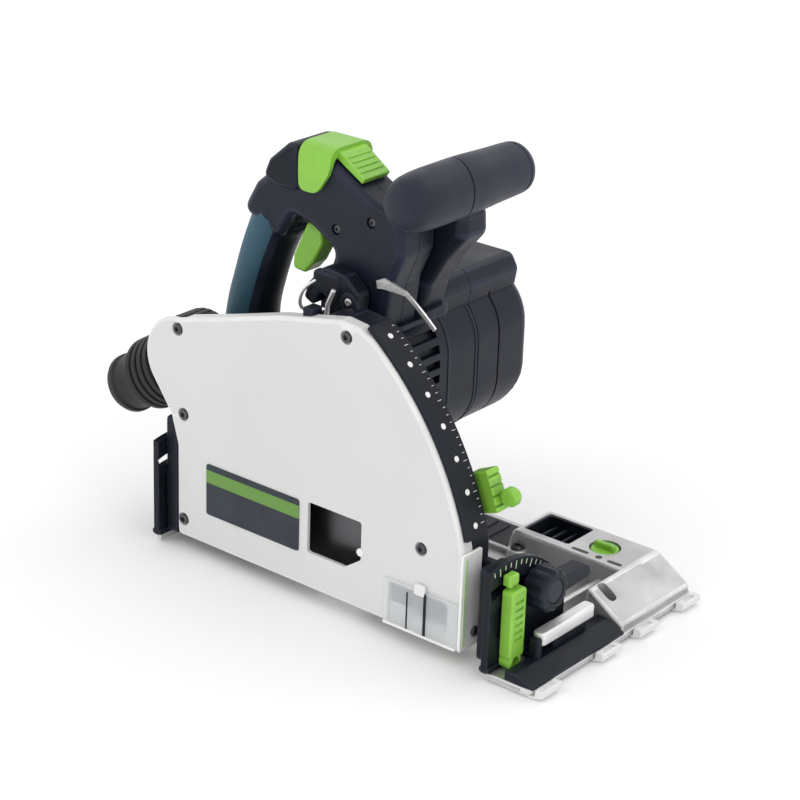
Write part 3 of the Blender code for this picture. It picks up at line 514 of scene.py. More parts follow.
def cover_paint():
    """Satin powder coat: faint orange peel, and rounded rims painted paler, partly as wear and partly as a painted
    highlight.
    """
    made = Shader("cover_paint", (0.68, 0.68, 0.675), 0.38, 0.0, 0.3)
    # The rims are painted paler: partly wear, partly a painted highlight.
    edges = made.rim_wear_and_highlight(0.3)
    made.set(Base_Color=made.mix(edges, made.cloudy(made.noise(9.0, 5.0), 0.965, 1.02), (0.80, 0.80, 0.80)))
    made.rough(made.noise(30.0, 4.0), 0.33, 0.46)
    made.bump(made.noise(420.0, 2.0), 0.00006, 0.35)
    made.bump(made.noise(1900.0, 1.0), 0.00002, 0.4)


def cast_alloy():
    """Blasted die casting: uneven satin skin, small pits, edges painted bright, partly as rubbed wear and partly
    as a painted highlight.
    """
    made = Shader("cast_alloy", (0.56, 0.56, 0.565), 0.45, 0.72, 0.5)
    # The edges are painted bright: partly rubbed wear, partly a painted highlight.
    edges = made.rim_wear_and_highlight(0.3)
    made.set(Base_Color=made.mix(edges, made.cloudy(made.noise(35.0, 6.0), 0.82, 1.1), (0.82, 0.82, 0.82)))
    made.rough(made.noise(80.0, 5.0), 0.36, 0.58)
    made.bump(made.cells(700.0), 0.00007, 0.3)
    made.bump(made.noise(1300.0, 4.0), 0.00006, 0.5)


def ground_steel(name, colour, roughness, stretch, metallic=1.0):
    """Steel ground in one direction: long fine scratches and a few dull patches."""
    made = Shader(name, colour, roughness, metallic, 0.5)
    scratches = made.noise(500.0, 4.0, stretch)
    made.set(Base_Color=made.cloudy(scratches, 0.84, 1.1))
    made.rough(made.noise(40.0, 4.0), roughness - 0.07, roughness + 0.12)
    made.bump(scratches, 0.00003, 0.35)


def blade_steel():
    """Blade plate: rings of grinding marks about the bore, on a near-black colour that is painted shade for the
    blade inside the cover.
    """
    # Far darker than bright steel: painted shade for the blade seen in the cover's window.
    colour = (0.13, 0.13, 0.137)
    made = Shader("blade_steel", colour, 0.28, 1.0, 0.5)
    kind = "ShaderNodeVectorMath"
    about = made.maths(kind, "SUBTRACT", made.place, (SPINDLE[0] * MM, 0.0, SPINDLE[1] * MM))
    flat = made.maths(kind, "MULTIPLY", about["Vector"], (1, 0, 1))
    radius = made.maths(kind, "LENGTH", flat["Vector"])["Value"]
    ringed = made.nodes.new("ShaderNodeTexNoise")
    ringed.noise_dimensions = "1D"
    for name, value in (("Scale", 2600.0), ("Detail", 4.0), ("W", radius)):
        made.fill(ringed.inputs[name], value)
    rings = ringed.outputs["Fac"]
    made.set(Base_Color=made.mix(rings, shade(colour, 0.8), shade(colour, 1.15)))
    made.rough(made.noise(50.0), 0.26, 0.42)
    made.bump(rings, 0.00002, 0.4)


def clear_plastic():
    """Clear window with a faint smoke and fine wiping marks."""
    made = Shader("clear_plastic", (0.80, 0.83, 0.84), 0.12, 0.0, 0.5)
    made.set(Alpha=0.34)
    made.rough(made.noise(300.0, 4.0, (1, 1, 0.1)), 0.08, 0.24)
    smoke = made.ranged(made.noise(20.0), 0.0, 1.0)
    made.set(Base_Color=made.mix(smoke, (0.74, 0.77, 0.79), (0.85, 0.88, 0.89)))


def label_print():
    """Blank printed plate: dark field with a green band along the top."""
    made = Shader("label_print", (0.016, 0.023, 0.034), 0.35, 0.0, 0.4)
    height = made.node("ShaderNodeSeparateXYZ", Vector=made.place).outputs["Z"]
    high = span("label_plate", "z")[1]
    band = made.ranged(height, 0.0, 1.0, (high - 13.2) * MM, (high - 13.0) * MM)
    top = made.ranged(height, 1.0, 0.0, (high - 4.2) * MM, (high - 4.0) * MM)
    both = made.maths("ShaderNodeMath", "MULTIPLY", band, top)["Value"]
    field = made.cloudy(made.noise(60.0), 0.85, 1.25)
    made.set(Base_Color=made.mix(both, field, (0.13, 0.28, 0.05)))
    made.rough(made.noise(90.0), 0.28, 0.42)


for finish in (cover_paint, cast_alloy, blade_steel, clear_plastic, label_print):
    finish()
# Columns: name, colour, roughness, specular, grain, bump depth, and how much paler the rounded edges are painted
# (partly wear, partly a painted highlight).
for row in (("black_plastic", (0.0070, 0.0090, 0.0150), 0.42, 0.2, 1500.0, 0.00004, 3.0),
            ("housing_plastic", (0.0095, 0.0120, 0.0225), 0.38, 0.24, 1700.0, 0.00004, 2.4),
            ("dust_plastic", (0.020, 0.020, 0.021), 0.5, 0.25, 1100.0, 0.00007, 2.0),
            ("green_plastic", (0.225, 0.50, 0.052), 0.36, 0.45, 1400.0, 0.00003, 1.25),
            ("glide_plastic", (0.70, 0.70, 0.70), 0.35, 0.4, 1200.0, 0.00003, 1.1),
            ("white_mark", (0.78, 0.78, 0.77), 0.45, 0.4, 1200.0, 0.00002, 1.1),
            ("pale_green", (0.52, 0.70, 0.42), 0.4, 0.4, 1200.0, 0.00003, 1.1),
            ("board", (0.02, 0.13, 0.06), 0.4, 0.5, 900.0, 0.00005, 1.3)):
    moulded(*row)
rubber("grip_rubber", (0.030, 0.078, 0.112), (0.45, 0.6, 0.66), 0.55)
rubber("soft_grip", (0.019, 0.023, 0.036), (0.5, 0.52, 0.62), 0.46)
for row in (("steel", (0.64, 0.64, 0.65), 0.3, (0.05, 1.0, 1.0)),
            ("bright_bar", (0.86, 0.86, 0.86), 0.34, (1.0, 0.05, 1.0), 0.75),
            ("dark_steel", (0.10, 0.10, 0.11), 0.42, (1.0, 1.0, 0.2), 0.8),
            ("carbide", (0.42, 0.42, 0.44), 0.22, (1.0, 1.0, 1.0)),
            ("windings", (0.62, 0.27, 0.13), 0.35, (1.0, 0.05, 1.0), 0.9)):
    ground_steel(*row)
LOOKS.update(clear_window=LOOKS["clear_plastic"], label=LOOKS["label_print"])
# Which of the record's slots a look stands for when it is not one itself; piece() works this out but keeps it
# nowhere
SLOTS = {"white_mark": "cover_paint", "pale_green": "cover_paint", "bright_bar": "steel", "carbide": "dark_steel",
         "blade_steel": "steel", "dust_plastic": "black_plastic"}


def mark_rims(solid, narrow=1.7):
    """Note the narrow faces along rounded convex edges, which the materials paint paler, partly as wear and partly
    as a painted highlight.
    """
    rim_wear_and_highlight = solid.faces.layers.float.new("rim_wear_and_highlight")
    for face in solid.faces:
        width = 2 * face.calc_area() / max(sum(edge.calc_length() for edge in face.edges), 1e-6)
        if width < narrow and any(radians(9) < edge.calc_face_angle_signed(0) < radians(62)
                                  for edge in face.edges if len(edge.link_faces) == 2):
            face[rim_wear_and_highlight] = 1.0


def piece(name, solid, look, body, *replaced, slot=None, sharp=38.0):
    """Finish a solid: metres, shading, material, and the body that it rides on."""
    mark_rims(solid)
    bmesh.ops.scale(solid, vec=(MM, MM, MM), verts=solid.verts)
    mesh = bpy.data.meshes.new(name)
    solid.to_mesh(mesh)
    solid.free()
    mesh.shade_smooth()
    mesh.set_sharp_from_angle(angle=radians(sharp))
    mesh.materials.append(LOOKS[look])
    made = placed(name, mesh)
    made.modifiers.new("Even shading", "WEIGHTED_NORMAL").keep_sharp = True
    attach(made, body)
    if replaced:
        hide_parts(*replaced)
    slot = slot or SLOTS.get(look) or (None if replaced else look)


def pieces_on(body):
    """A shorter call for the pieces of one body: name, solid, look, then the CAD node it stands for."""
    def add(name, solid, look, *replaced, **more):
        piece(name, solid, look, body, *replaced, **more)
    return add


on_base, on_guard, on_blade, on_motor = map(pieces_on, ("base", "guard", "blade_shaft", "motor_unit"))


def screw(axis, centre, face, radius, outward, lobes=6):
    """Pan head standing on a face, with a lobed socket."""
    height = radius * 0.6
    steps = [(0, 0), (1, 0), (1, 0.45), (0.9, 0.8), (0.62, 1.0), (0, 1.0)]
    head = turned(axis, centre, [(radius * r, face + outward * height * h) for r, h in steps], 28)
    ends = sorted((face + outward * height * 0.35, face + outward * height * 1.5))
    return cut(head, slab(axis, wavy(centre, radius * 0.53, radius * 0.18, lobes), *ends, 0))


def about_pivot(angle):
    """Turn a shape, made at the plunge pivot's height, up to an angle in degrees about it."""
    x, z = PIVOT
    there, back = Matrix.Translation((x, 0, z)), Matrix.Translation((-x, 0, -z))
    return there @ Matrix.Rotation(-radians(angle), 4, "Y") @ back


# Base

def base_casting():
    low, rib_top = PLATE_TOP - 1, PLATE_TOP + 1.4
    slope = [(152, GIRDER_TOP), (177, 10.5), (177, low)]
    solid = join(
        pocket(-134, -74, 180, 102, 8, 2.1, PLATE_TOP, 0.8, 5),
        slab("y", fillet([(58, low), (64, GIRDER_TOP)] + slope, [0, 4, 9, 3, 0]), 60, 101, 2.2),
        slab("y", fillet([(146, low), (149, GIRDER_TOP)] + slope, [0, 3, 9, 3, 0]), 24, 80, 2.2),
        block((-130, 97, low), (62, 101, PLATE_TOP + 1.6), 1.2, 0.6),
        block((-133, 6, low), (-129, 101, 14), 1.5, 1.2),
        block((84, -32, low), (88, 62, 14), 1.6, 1.2),
        block((132, -32, low), (136, 62, 14), 1.6, 1.2),
        block((-100, 6, low), (60, 9, rib_top), 1.0, 0.5),
        block((-20, 8, low), (-16, 98, rib_top), 1.2, 0.5),
        *[disc("z", spot, radius, low, top, rim)
          for spot, radius, top, rim in (((70, 58), 6.5, 15, 1.0), ((92, 45), 5, 12, 1.0),
                                         ((-122, -62), 6, 11, 0.8))])
    openings = [pocket(-125.9, -90, 142.9, -34, 3, -5, 40), pocket(-44, -36, 58, -8, 8, -5, 40),
                pocket(68, 67, 104, 96.5, 2.5, 12, 40), pocket(72, 66, 142, 96, 4, -5, 9),
                disc("z", (124, 80), 10.5, 20, 40, 0), disc("z", (129, 65.5), 2.4, 18, 40, 0),
                disc("z", (70, 58), 2.6, 9, 20, 0), disc("z", (92, 45), 2, 8, 20, 0),
                pocket(108, 63.6, 121, 67, 1.7, 19, 40), pocket(136, 63.6, 147, 67, 1.7, 19, 40),
                moved(pocket(-6.5, -4, 6.5, 4, 3.9, -12, 12), Matrix.Translation((157, 35, 22)))]
    openings += [pocket(x, 20, x + 26, 52, 5, 4.6, 20) for x in (-112, -78, -4, 26)]
    return cut(solid, *openings)


def glide_strip(row, rear):
    side = fillet([(rear, 0), (180.5, 0), (187, 2.5), (187, 7), (181, 7), (180.6, 1.8), (rear, 1.8)],
                  [0, 2.5, 1.5, 1.4, 1.2, 1.5, 0])
    strip = slab("y", side, row - 10, row + 10, 0.7)
    return cut(strip, block((182.5, row - 5, 5.9), (185.4, row + 5, 9), 0.8, 0.3))


def angle_segment(back, front):
    low = PLATE_TOP + 0.3
    top_left = degrees(pi - atan2(sqrt(64 ** 2 - 16 ** 2), 16))
    plate = slab("x", [(-76, low), (2, low)] + arc(BEVEL_YZ, 64, 16, top_left, 24), back, front, 0.6)
    relief = arc(BEVEL_YZ, 37, 62, 116, 16) + arc(BEVEL_YZ, 17, 116, 62, 10)
    solid = cut(plate, slab("x", ring_part(BEVEL_YZ, 51.6, 44.4, 46, 108, 20), back - 5, front + 5, 0),
                disc("x", BEVEL_YZ, BOLT_HOLE, back - 5, front + 5, 0),
                slab("x", fillet(relief, 3), front - 1.2, front + 5, 0))
    foot = slab("x", fillet([(-76, 6.3), (2, 6.3), (2, 10), (-76, 10)], 1.5), back - 1.2, front + 1.2, 0.5)
    return join(solid, foot)


def angle_marks(face):
    """Raised marks along the segment's edge: a long one every fifteen degrees."""
    marks = []
    for number in range(11):
        reach = 5.2 if number % 3 == 0 else 3.2
        mark = block((face - 0.3, 62.2 - reach, -0.35), (face + 0.12, 62.2, 0.35), 0.2, 0.05, "x")
        turn = Matrix.Rotation(radians(52 + 5 * number), 4, "X")
        marks.append(moved(mark, Matrix.Translation((0, *BEVEL_YZ)) @ turn))
    return merge(*marks)


def guide_dial(centre, low):
    x, y = centre
    grip = block((x - 8, y - 2, low + 4), (x + 8, y + 2, low + 9), 1.9, 1.2)
    notches = [disc("z", spot, 1.2, low - 1, low + 8, 0, 12) for spot in circle(centre, 10, 18)]
    return cut(join(disc("z", centre, 9.5, low, low + 5, 1.0), grip), merge(*notches))


def build_base():
    on_base("base_casting", base_casting(), "cast_alloy", "base_plate")
    for name, row, rear in (("inner", 0, -130), ("middle", 41, -130), ("outer", 89, -130)):
        on_base(f"runner_{name}", glide_strip(row, rear), "glide_plastic", f"glide_strip_{name}")
    on_base("front_pad", glide_strip(-62, 144), "glide_plastic", "glide_pad_front")
    on_base("front_segment", angle_segment(*FRONT_SEGMENT), "black_plastic", "front_angle_segment")
    on_base("rear_segment", angle_segment(*REAR_SEGMENT), "black_plastic", "rear_angle_segment")
    on_base("front_angle_marks", angle_marks(FRONT_SEGMENT[1]), "pale_green")
    on_base("cross_bar_polished", block((158, -46, 19), (167, 9, 28), 3.8, 1.6), "bright_bar", "cross_bar")
    foot = join(block((150.5, -30, 6.3), (164.5, 4, 18.9), 2.5, 1.2),
                block((159, -50, 6.3), (166, -44.5, 25), 2, 1.2))
    on_base("cross_bar_foot", foot, "black_plastic")
    slope = fillet([(159, 6.05), (159, 12.5), (167, 12.5), (180, 7.6), (180, 6.05)], [0, 2, 3, 0.6, 0])
    sill = join(slab("y", slope, -73.4, 22.8, 0.8), block((149, -42, 6.05), (160, 22, 9), 1, 0.6))
    on_base("front_sill", sill, "black_plastic")
    # The girder's pocket gets a black floor with fins and a black lining round its walls.
    pocket_floor = blocks(((68.6, 67.6, 12), (103.4, 95.9, 14), 2, 0.5),
                    *[((x, 68.5, 13), (x + 2.2, 95, 19.5), 0.9, 0.6) for x in (74, 82, 90, 98)])
    lining = cut(block((68.2, 67.2, 12), (103.8, 96.3, 25), 2.3, 0.3),
                 block((69.3, 68.3, 12.5), (102.7, 95.2, 30), 1.8, 0))
    on_base("girder_insert", merge(pocket_floor, lining), "black_plastic")
    channel = blocks(((-4.4, 65.2, 6.05), (55.5, 95.4, 8.4), 3, 0.6),
                     *[((x, 68, 8.2), (x + 3, 93, 9.2), 1, 0.4) for x in (6, 16, 26, 36)])
    on_base("guide_channel", channel, "black_plastic")
    rails = join(block((-8.5, 61.2, 5.8), (59, 64.8, 9.4), 1, 0.8),
                 block((-8.5, 62, 5.8), (-4.8, 97, 9.4), 1, 0.8))
    on_base("guide_channel_rim", rails, "cast_alloy")
    # A black plate on the floor of the oval recess cut into the apron.
    on_base("apron_socket", pocket(151.2, 31.6, 162.8, 38.4, 3.3, 11, 13.4, 0.4), "black_plastic")
    screws = [(70, 58, 15, 4.4), (92, 45, 12, 3.6), (-122, 14, 6.1, 4), (-70, 74, 6.1, 4), (20, 36, 4.7, 4)]
    for number, (x, y, top, size) in enumerate(screws, 1):
        on_base(f"base_screw_{number}", screw("z", (x, y), top - 0.2, size, 1), "dark_steel")
    for number, (low, high) in enumerate(((137, 143), (-126.3, -121)), 1):
        lugs = [((low, right, PLATE_TOP), (high, left, 15), 1.5, 0.8) for right, left in ((-30, -22), (-6, 1))]
        on_base(f"segment_lugs_{number}", blocks(*lugs), "cast_alloy")
    for name, dial in (("front", guide_dial((124, 80), 20.3)), ("rear", guide_dial((-112, 60), PLATE_TOP + 0.3))):
        piece(f"{name}_dial", dial, "green_plastic", f"{name}_guide_dial", f"{name}_guide_dial")


# Guard

def guard_front(radius, low_z, steps=28):
    bottom = degrees(atan2(low_z - PIVOT[1], sqrt(radius ** 2 - (low_z - PIVOT[1]) ** 2)))
    return arc(PIVOT, radius, 55, bottom, steps)


def cover_outline(shrink=0.0):
    lobe = arc(DUST_AXIS, 29.5 - shrink, 90, 215, 24)
    front = guard_front(SCALE_RADIUS - shrink, 76 - shrink)
    rear = [(-121 + shrink, 94), (-115 + shrink, 74), (-115 + shrink, GUARD_BOTTOM)]
    top = [(35.5 - shrink, 196 - shrink), (22, 197.5 - shrink), (-28, 187 - shrink), (-72, 174 - shrink)]
    points = top + lobe + rear + [(front[-1][0], GUARD_BOTTOM)] + front[::-1][:-2]
    radii = [5, 9, 25, 25] + [0] * len(lobe) + [6, 14, 4, 3.5] + [0] * (len(front) - 2)
    return fillet(points, radii)


def housing_outline(shrink=0.0):
    front = guard_front(SCALE_RADIUS - shrink, 76 - shrink)
    top = [(35.5 - shrink, 196 - shrink), (22, 197.5 - shrink), (2, 193 - shrink), (-6, 183 - shrink),
           (-72, 165 - shrink), (-100, 155 - shrink), (-100, 110), (-115 + shrink, 100)]
    points = top + [(-115 + shrink, GUARD_BOTTOM), (front[-1][0], GUARD_BOTTOM)] + front[::-1][:-2]
    return fillet(points, [5, 9, 5, 8, 15, 6, 3, 4, 4, 3.5] + [0] * (len(front) - 2))


def lowered(outline, floor):
    return [(x, floor if z < GUARD_BOTTOM + 6 else z) for x, z in outline]


COVER_SCREWS = [(-114, 155), (-109, 22), (27, 188), (-109, 97), (90, 68)]
COVER_SCREW_NODES = 3          # the CAD has the first three of them
SCREW_SINK = 1.3


def cover():
    outer, inner = COVER_Y
    shell = slab("y", cover_outline(), outer, inner, 2.6, 0.4, 4)
    floor = outer + COVER_WALL
    hollow = slab("y", lowered(housing_outline(HOUSING_WALL), 0), floor, 0, 0)
    lobe = slab("y", box_outline(-160, 84, -108, 200, 2), floor, 0, 0)
    window = slab("y", fillet([(-1, 35), (30, 35), (43, 44), (43, 70), (-1, 70)], 2.2), -80, -65, 0)
    view = slab("y", fillet([(66, 0), (112, 0), (112, 38), (66, 38)], [0, 0, 3, 3]), -80, -65, 0)
    drum = disc("y", DUST_AXIS, DUST_SEAT, floor, 0, 0)
    seats = [disc("y", spot, 4.6, outer - 5, outer + SCREW_SINK, 0, 32) for spot in COVER_SCREWS]
    return cut(shell, hollow, lobe, window, view, drum, merge(*seats))


def inner_guard():
    outer, inner = HOUSING_Y
    shell = slab("y", housing_outline(), outer, inner, 0.3, 1.4)
    hollow = slab("y", lowered(housing_outline(HOUSING_WALL), 0), -80, inner - 3, 0)
    reach = hypot(SPINDLE[0] - PIVOT[0], SPINDLE[1] - PIVOT[1])
    cutters = [slab("y", ring_part(PIVOT, reach + 19, reach - 19, -30, 50, 24), -80, 0, 0),
               disc("y", DUST_AXIS, DUST_SEAT, -80, 0, 0), disc("y", PIVOT, 6.4, -80, 0, 0)]
    cutters += [slab("y", ring_part(PIVOT, radius, radius - 7, 2, 48, 24), inner - 1.0, 0, 0)
                for radius in (150, 166, 182)]
    return cut(shell, hollow, *cutters)


def scale_dots():
    """Raised dots down the depth scale, with fine marks between them."""
    x, z = PIVOT
    face, top = SCALE_RADIUS + 2.6, SCALE_RADIUS + 3.45
    profile = [(0, face), (1.9, face)] + disc_profile(1.9, face, top, 0.15)[6:]
    marks = [moved(turned("x", (-57.5, z), profile, 16),
                   about_pivot(17.5 + 5.6 * number) @ Matrix.Translation((x, 0, 0))) for number in range(7)]
    for number in range(28):
        reach = 3.4 if number % 4 == 0 else 2.0
        tick = block((x + face, -49.0 - reach, z - 0.16), (x + SCALE_RADIUS + 3.3, -49.0, z + 0.16), 0.1, 0.05)
        marks.append(moved(tick, about_pivot(17.5 + 1.3 * number)))
    return merge(*marks)


def trunnion(back, front, top_z):
    y, z = CLAMP_YZ
    outline = fillet([(-69, 8.5), (-46, 8.5), (-38, 22), (y + 9, z - 10), (y + 9, z + 8), (y - 4, z + 12),
                      (-48, 70), (-50, top_z), (-69, top_z)], [3, 3, 4, 4, 5, 5, 6, 3, 3])
    plate = slab("x", outline, back, front, 1.2)
    rib = box_outline(-66, 26, -58, top_z - 6, 2)
    return cut(plate, disc("x", CLAMP_YZ, BOLT_HOLE, back - 5, front + 5, 0),
               slab("x", rib, front - 1.5, front + 5, 0), slab("x", rib, back - 5, back + 1.5, 0))


def dust_elbow():
    x, z = DUST_AXIS
    drum = disc("y", DUST_AXIS, 28, -67.4, -40, 1.5, 64)
    profile = [(19, 0), (19, 30.8), (22.2, 31.2)]
    for at in (32, 38.2, 44.4, 50.6):
        profile += [(22.3, at - 0.6), (24.6, at), (24.6, at + 3.8), (22.3, at + 4.6)]
    profile += [(21.6, 57.5), (19.4, 61), (19.2, 68), (18.9, 76), (20.2, 77), (20.2, 80), (19.0, 82),
                (16.6, 82), (15.6, 81), (DUST_BORE, 3)]
    heading = Vector((cos(radians(212)), 0, sin(radians(212))))
    place = Matrix.Translation((x, -45, z)) @ heading.to_track_quat("Z", "Y").to_matrix().to_4x4()
    tube = moved(turned("z", (0, 0), profile, 56), place)
    core = moved(disc("z", (0, 0), DUST_BORE, 3.5, 90, 0, 56), place)
    body = cut(join(drum, tube), core, disc("y", DUST_AXIS, 22, -66, -43, 0, 48),
               block((x, -64, z - 20), (x + 40, -46, z + 18), 3, 0))
    return cut(body, merge(*[disc("y", spot, 1.5, -80, 0, 0, 10) for spot in circle(DUST_AXIS, 28.6, 30)]))


def stop_block():
    solid = slab("y", fillet(ring_part(PIVOT, 221, 205, 18.2, 25.2, 8), 1.6), -42.6, -31, 1.0)
    grooves = [moved(block((PIVOT[0] + 219.6, -50, PIVOT[1] - 0.8), (PIVOT[0] + 225, -25, PIVOT[1] + 0.8), 0.5, 0),
                     about_pivot(angle)) for angle in (19.3, 20.9, 22.5, 24.1)]
    return cut(solid, merge(*grooves))


def fluted_knob(low, high, outward):
    """Fluted hub with a wing to the motor side and a dished outer face."""
    y, z = CLAMP_YZ
    hub = slab("x", wavy(CLAMP_YZ, 14, 1.3, 12, 6), low, high, *((0.8, 2.4) if outward > 0 else (2.4, 0.8)))
    wing = slab("x", fillet([(y, z - 6), (y + 36, z - 4.5), (y + 40, z), (y + 36, z + 4.5), (y, z + 6)],
                            [0, 4, 4, 4, 0]), low + 1, high - 1, 1.8)
    face = high if outward > 0 else low
    return cut(join(hub, wing), disc("x", CLAMP_YZ, 8, *sorted((face - outward * 1.2, face + outward * 5)), 0))


def build_guard():
    outer = COVER_Y[0]
    on_guard("cover_shell", cover(), "cover_paint", "blade_cover")
    on_guard("inner_guard", inner_guard(), "black_plastic", "inner_guard_housing")
    for number, spot in enumerate(COVER_SCREWS, 1):
        node = [f"cover_screw_{number}"] if number <= COVER_SCREW_NODES else []
        on_guard(f"cover_bolt_{number}", screw("y", spot, outer + SCREW_SINK - 0.02, 3.7, -1), "dark_steel", *node,
                 slot="dark_steel")
    pane = slab("z", fillet([(64, -72.3), (121.6, -72.3), (121.6, -70.3), (64, -70.3)], 0.6), 11, 41, 0.4)
    on_guard("viewing_pane", pane, "clear_window", "viewing_window")
    frame_bar = blocks(((88, -73.3, 38), (96, -70.4, 45), 1.5, 0.6, "y"),
                       ((64, -72.9, 9.9), (120.5, -70.3, 11.8), 0.8, 0.4))
    on_guard("pane_frame", frame_bar, "white_mark")
    lines = blocks(((82, -72.7, 11.5), (83, -72.2, 37), 0.2, 0.1, "y"),
                   ((95.4, -72.7, 11.5), (97.4, -72.2, 40.5), 0.4, 0.1, "y"))
    on_guard("pane_line", lines, "black_plastic")
    edge = slab("x", fillet([(-72.1, 9.9), (-53.2, 9.9), (-53.2, 75), (-72.1, 75)], 1.6), 121.7, 124.0, 0.7)
    on_guard("front_edge_strip", edge, "white_mark")
    stripe = slab("x", fillet([(-70.3, 13), (-67.2, 13), (-67.2, 72), (-70.3, 72)], 0.8), 123.8, 124.4, 0.2)
    on_guard("front_edge_stripe", stripe, "pale_green", slot="green_plastic")
    on_guard("front_edge_bolt", screw("x", (-58.5, 20), 123.9, 3.4, 1), "dark_steel")
    on_guard("depth_band", slab("y", ring_part(PIVOT, SCALE_RADIUS + 3.2, SCALE_RADIUS + 0.3, 15.5, 54, 48),
                                -67.5, -47, 0.5), "black_plastic", "depth_scale_strip")
    on_guard("depth_marks", scale_dots(), "white_mark")
    plate = slab("y", box_outline(-88, 33, -8, 69, 2.2), outer - 0.8, outer + 0.1, 0.25)
    on_guard("plate_blank", plate, "label", "label_plate")
    nub = blocks(((-12, -66, 188), (-4, -56, 196.5), 1.6, 1.2, "y"),
                 ((39.5, -59, 46), (44.5, -55, 53), 1.2, 0.8, "y"))
    on_guard("guard_nubs", nub, "black_plastic")
    on_guard("window_peg", disc("y", (42.5, 49.5), 2.6, outer - 0.9, outer + 1.2, 0.5, 24), "white_mark")
    front = join(trunnion(134, 142.5, 70), block((121.7, -51.5, 14), (135, -46, 66), 1.2, 0.8))
    on_guard("front_bearing_plate", front, "black_plastic", "front_trunnion")
    on_guard("rear_bearing_plate", trunnion(-125.6, -116, 91), "black_plastic", "rear_trunnion")
    for name, ends in (("front", (135, 147.9)), ("rear", (-138, -117))):
        on_guard(f"{name}_tilt_pin", disc("x", BEVEL_YZ, 3, *ends, 0.5, 24), "steel")
    axle = join(disc("y", PIVOT, 6, -49, -4, 0.8), disc("y", PIVOT, 4, -49.9, -3.4, 0.4))
    on_guard("plunge_pin", axle, "steel", "plunge_axle")
    fin = join(block((106, -59.4, 8), (118.6, -57.6, 62), 0.8, 0.5, "y"),
               block((105.6, -59.8, 8), (107.4, -57.3, 62), 0.8, 0.4, "z"))
    piece("splinter_insert", fin, "green_plastic", "splinter_guard", "splinter_guard")
    piece("dust_elbow", dust_elbow(), "dust_plastic", "dust_port", "dust_port")
    piece("stop_block", stop_block(), "green_plastic", "depth_stop", "depth_stop")
    spot = around((PIVOT[0] + 3, PIVOT[1]), 225, 20.5)
    cap = turned("y", spot, [(0, -30.5), (3.5, -30.8), (5.2, -31.6), (6, -33), (6, -37), (5, -38.6), (0, -39)], 32)
    piece("stop_button", cap, "green_plastic", "depth_stop_button", "depth_stop_button")


def build_bevel_controls():
    """Both clamp knobs with their bolts, and the release lever on the front pin."""
    for name, low, high, outward, end in (("front", 148.6, 164, 1, 133), ("rear", -148, -131.6, -1, -115)):
        body = f"{name}_bevel_knob"
        piece(f"{name}_knob", fluted_knob(low, high, outward), "black_plastic", body, body)
        bolt = disc("x", CLAMP_YZ, 3, *sorted((end, (low + high) / 2)), 0.4, 20)
        piece(f"{name}_clamp_bolt", bolt, "steel", body)
        face = high - 1.2 if outward > 0 else low + 1.2
        lid = disc("x", CLAMP_YZ, 7.6, *sorted((face - outward * 0.4, face + outward * 1.0)), 0.4)
        piece(f"{name}_knob_lid", lid, "housing_plastic", body)
    y, z = BEVEL_YZ
    low, high = 148.6, 157.5
    plate = block((low, y - 6, z + 2), (high, y + 8, z + 48), 3, 1.4, "x")
    grooves = [block((high - 1.0, y - 3, z + 14 + 5 * n), (high + 5, y + 5, z + 16 + 5 * n), 0.8, 0, "x")
               for n in range(6)]
    lever = cut(join(plate, disc("x", BEVEL_YZ, 5.6, low, high, 0.8)), disc("x", BEVEL_YZ, BOLT_HOLE, 140, 170, 0),
                merge(*grooves))
    piece("release_lever", lever, "green_plastic", "bevel_release", "bevel_release_lever")
    nub = blocks(((148.8, y - 6, z + 50.5), (154.6, y + 3.5, z + 57.8), 1.8, 1.2, "x"),
                 ((149.4, y - 2.5, z + 46), (152.6, y + 0.5, z + 52), 0.6, 0.4, "x"))
    piece("release_nub", nub, "green_plastic", "bevel_release")


# Blade and drive

def blade_plate():
    y = BLADE_Y
    gullet = ((0.0, -0.9), (0.04, -4.2), (0.14, -6.4), (0.30, -7.0), (0.46, -5.4), (0.62, -2.4), (0.90, -1.2))
    points = [around(SPINDLE, BLADE_RADIUS + depth, -360 * (tooth + share) / TEETH)
              for tooth in range(TEETH) for share, depth in gullet]
    cutters = [disc("y", SPINDLE, 10, y - 5, y + 5, 0, 48)]
    for start in range(20, 380, 72):
        slot = [(79, 0), (72, 1.6), (64, 4.5), (58, 9), (58.6, 9.7), (64.6, 5.1), (72.4, 2.2), (79, 0.7)]
        cutters.append(slab("y", [around(SPINDLE, r, start + turn) for r, turn in slot], y - 5, y + 5, 0))
        cutters.append(disc("y", around(SPINDLE, 58, start + 9.6), 1.8, y - 5, y + 5, 0, 16))
    return cut(slab("y", points, y - 0.6, y + 0.6, 0), *cutters)


def blade_tips():
    tips = []
    for tooth in range(TEETH):
        turn = -2 * pi * tooth / TEETH
        outline = [(SPINDLE[0] + a * cos(turn) - b * sin(turn), SPINDLE[1] + a * sin(turn) + b * cos(turn))
                   for a, b in ((BLADE_RADIUS, 0.0), (79.4, 0.6), (79.6, -1.4), (83.6, -1.6))]
        tips.append(slab("y", outline, BLADE_Y - 1, BLADE_Y + 1, 0.15, None, 1))
    return merge(*tips)


def flange(low, high):
    profile = [(10, low), (10, high), (12, high), (13, high - 1.2), (16, high - 1.2), (17, high), (18.6, high),
               (19, high - 0.5), (19, low + 0.5), (18.6, low)]
    return turned("y", SPINDLE, profile, 56)


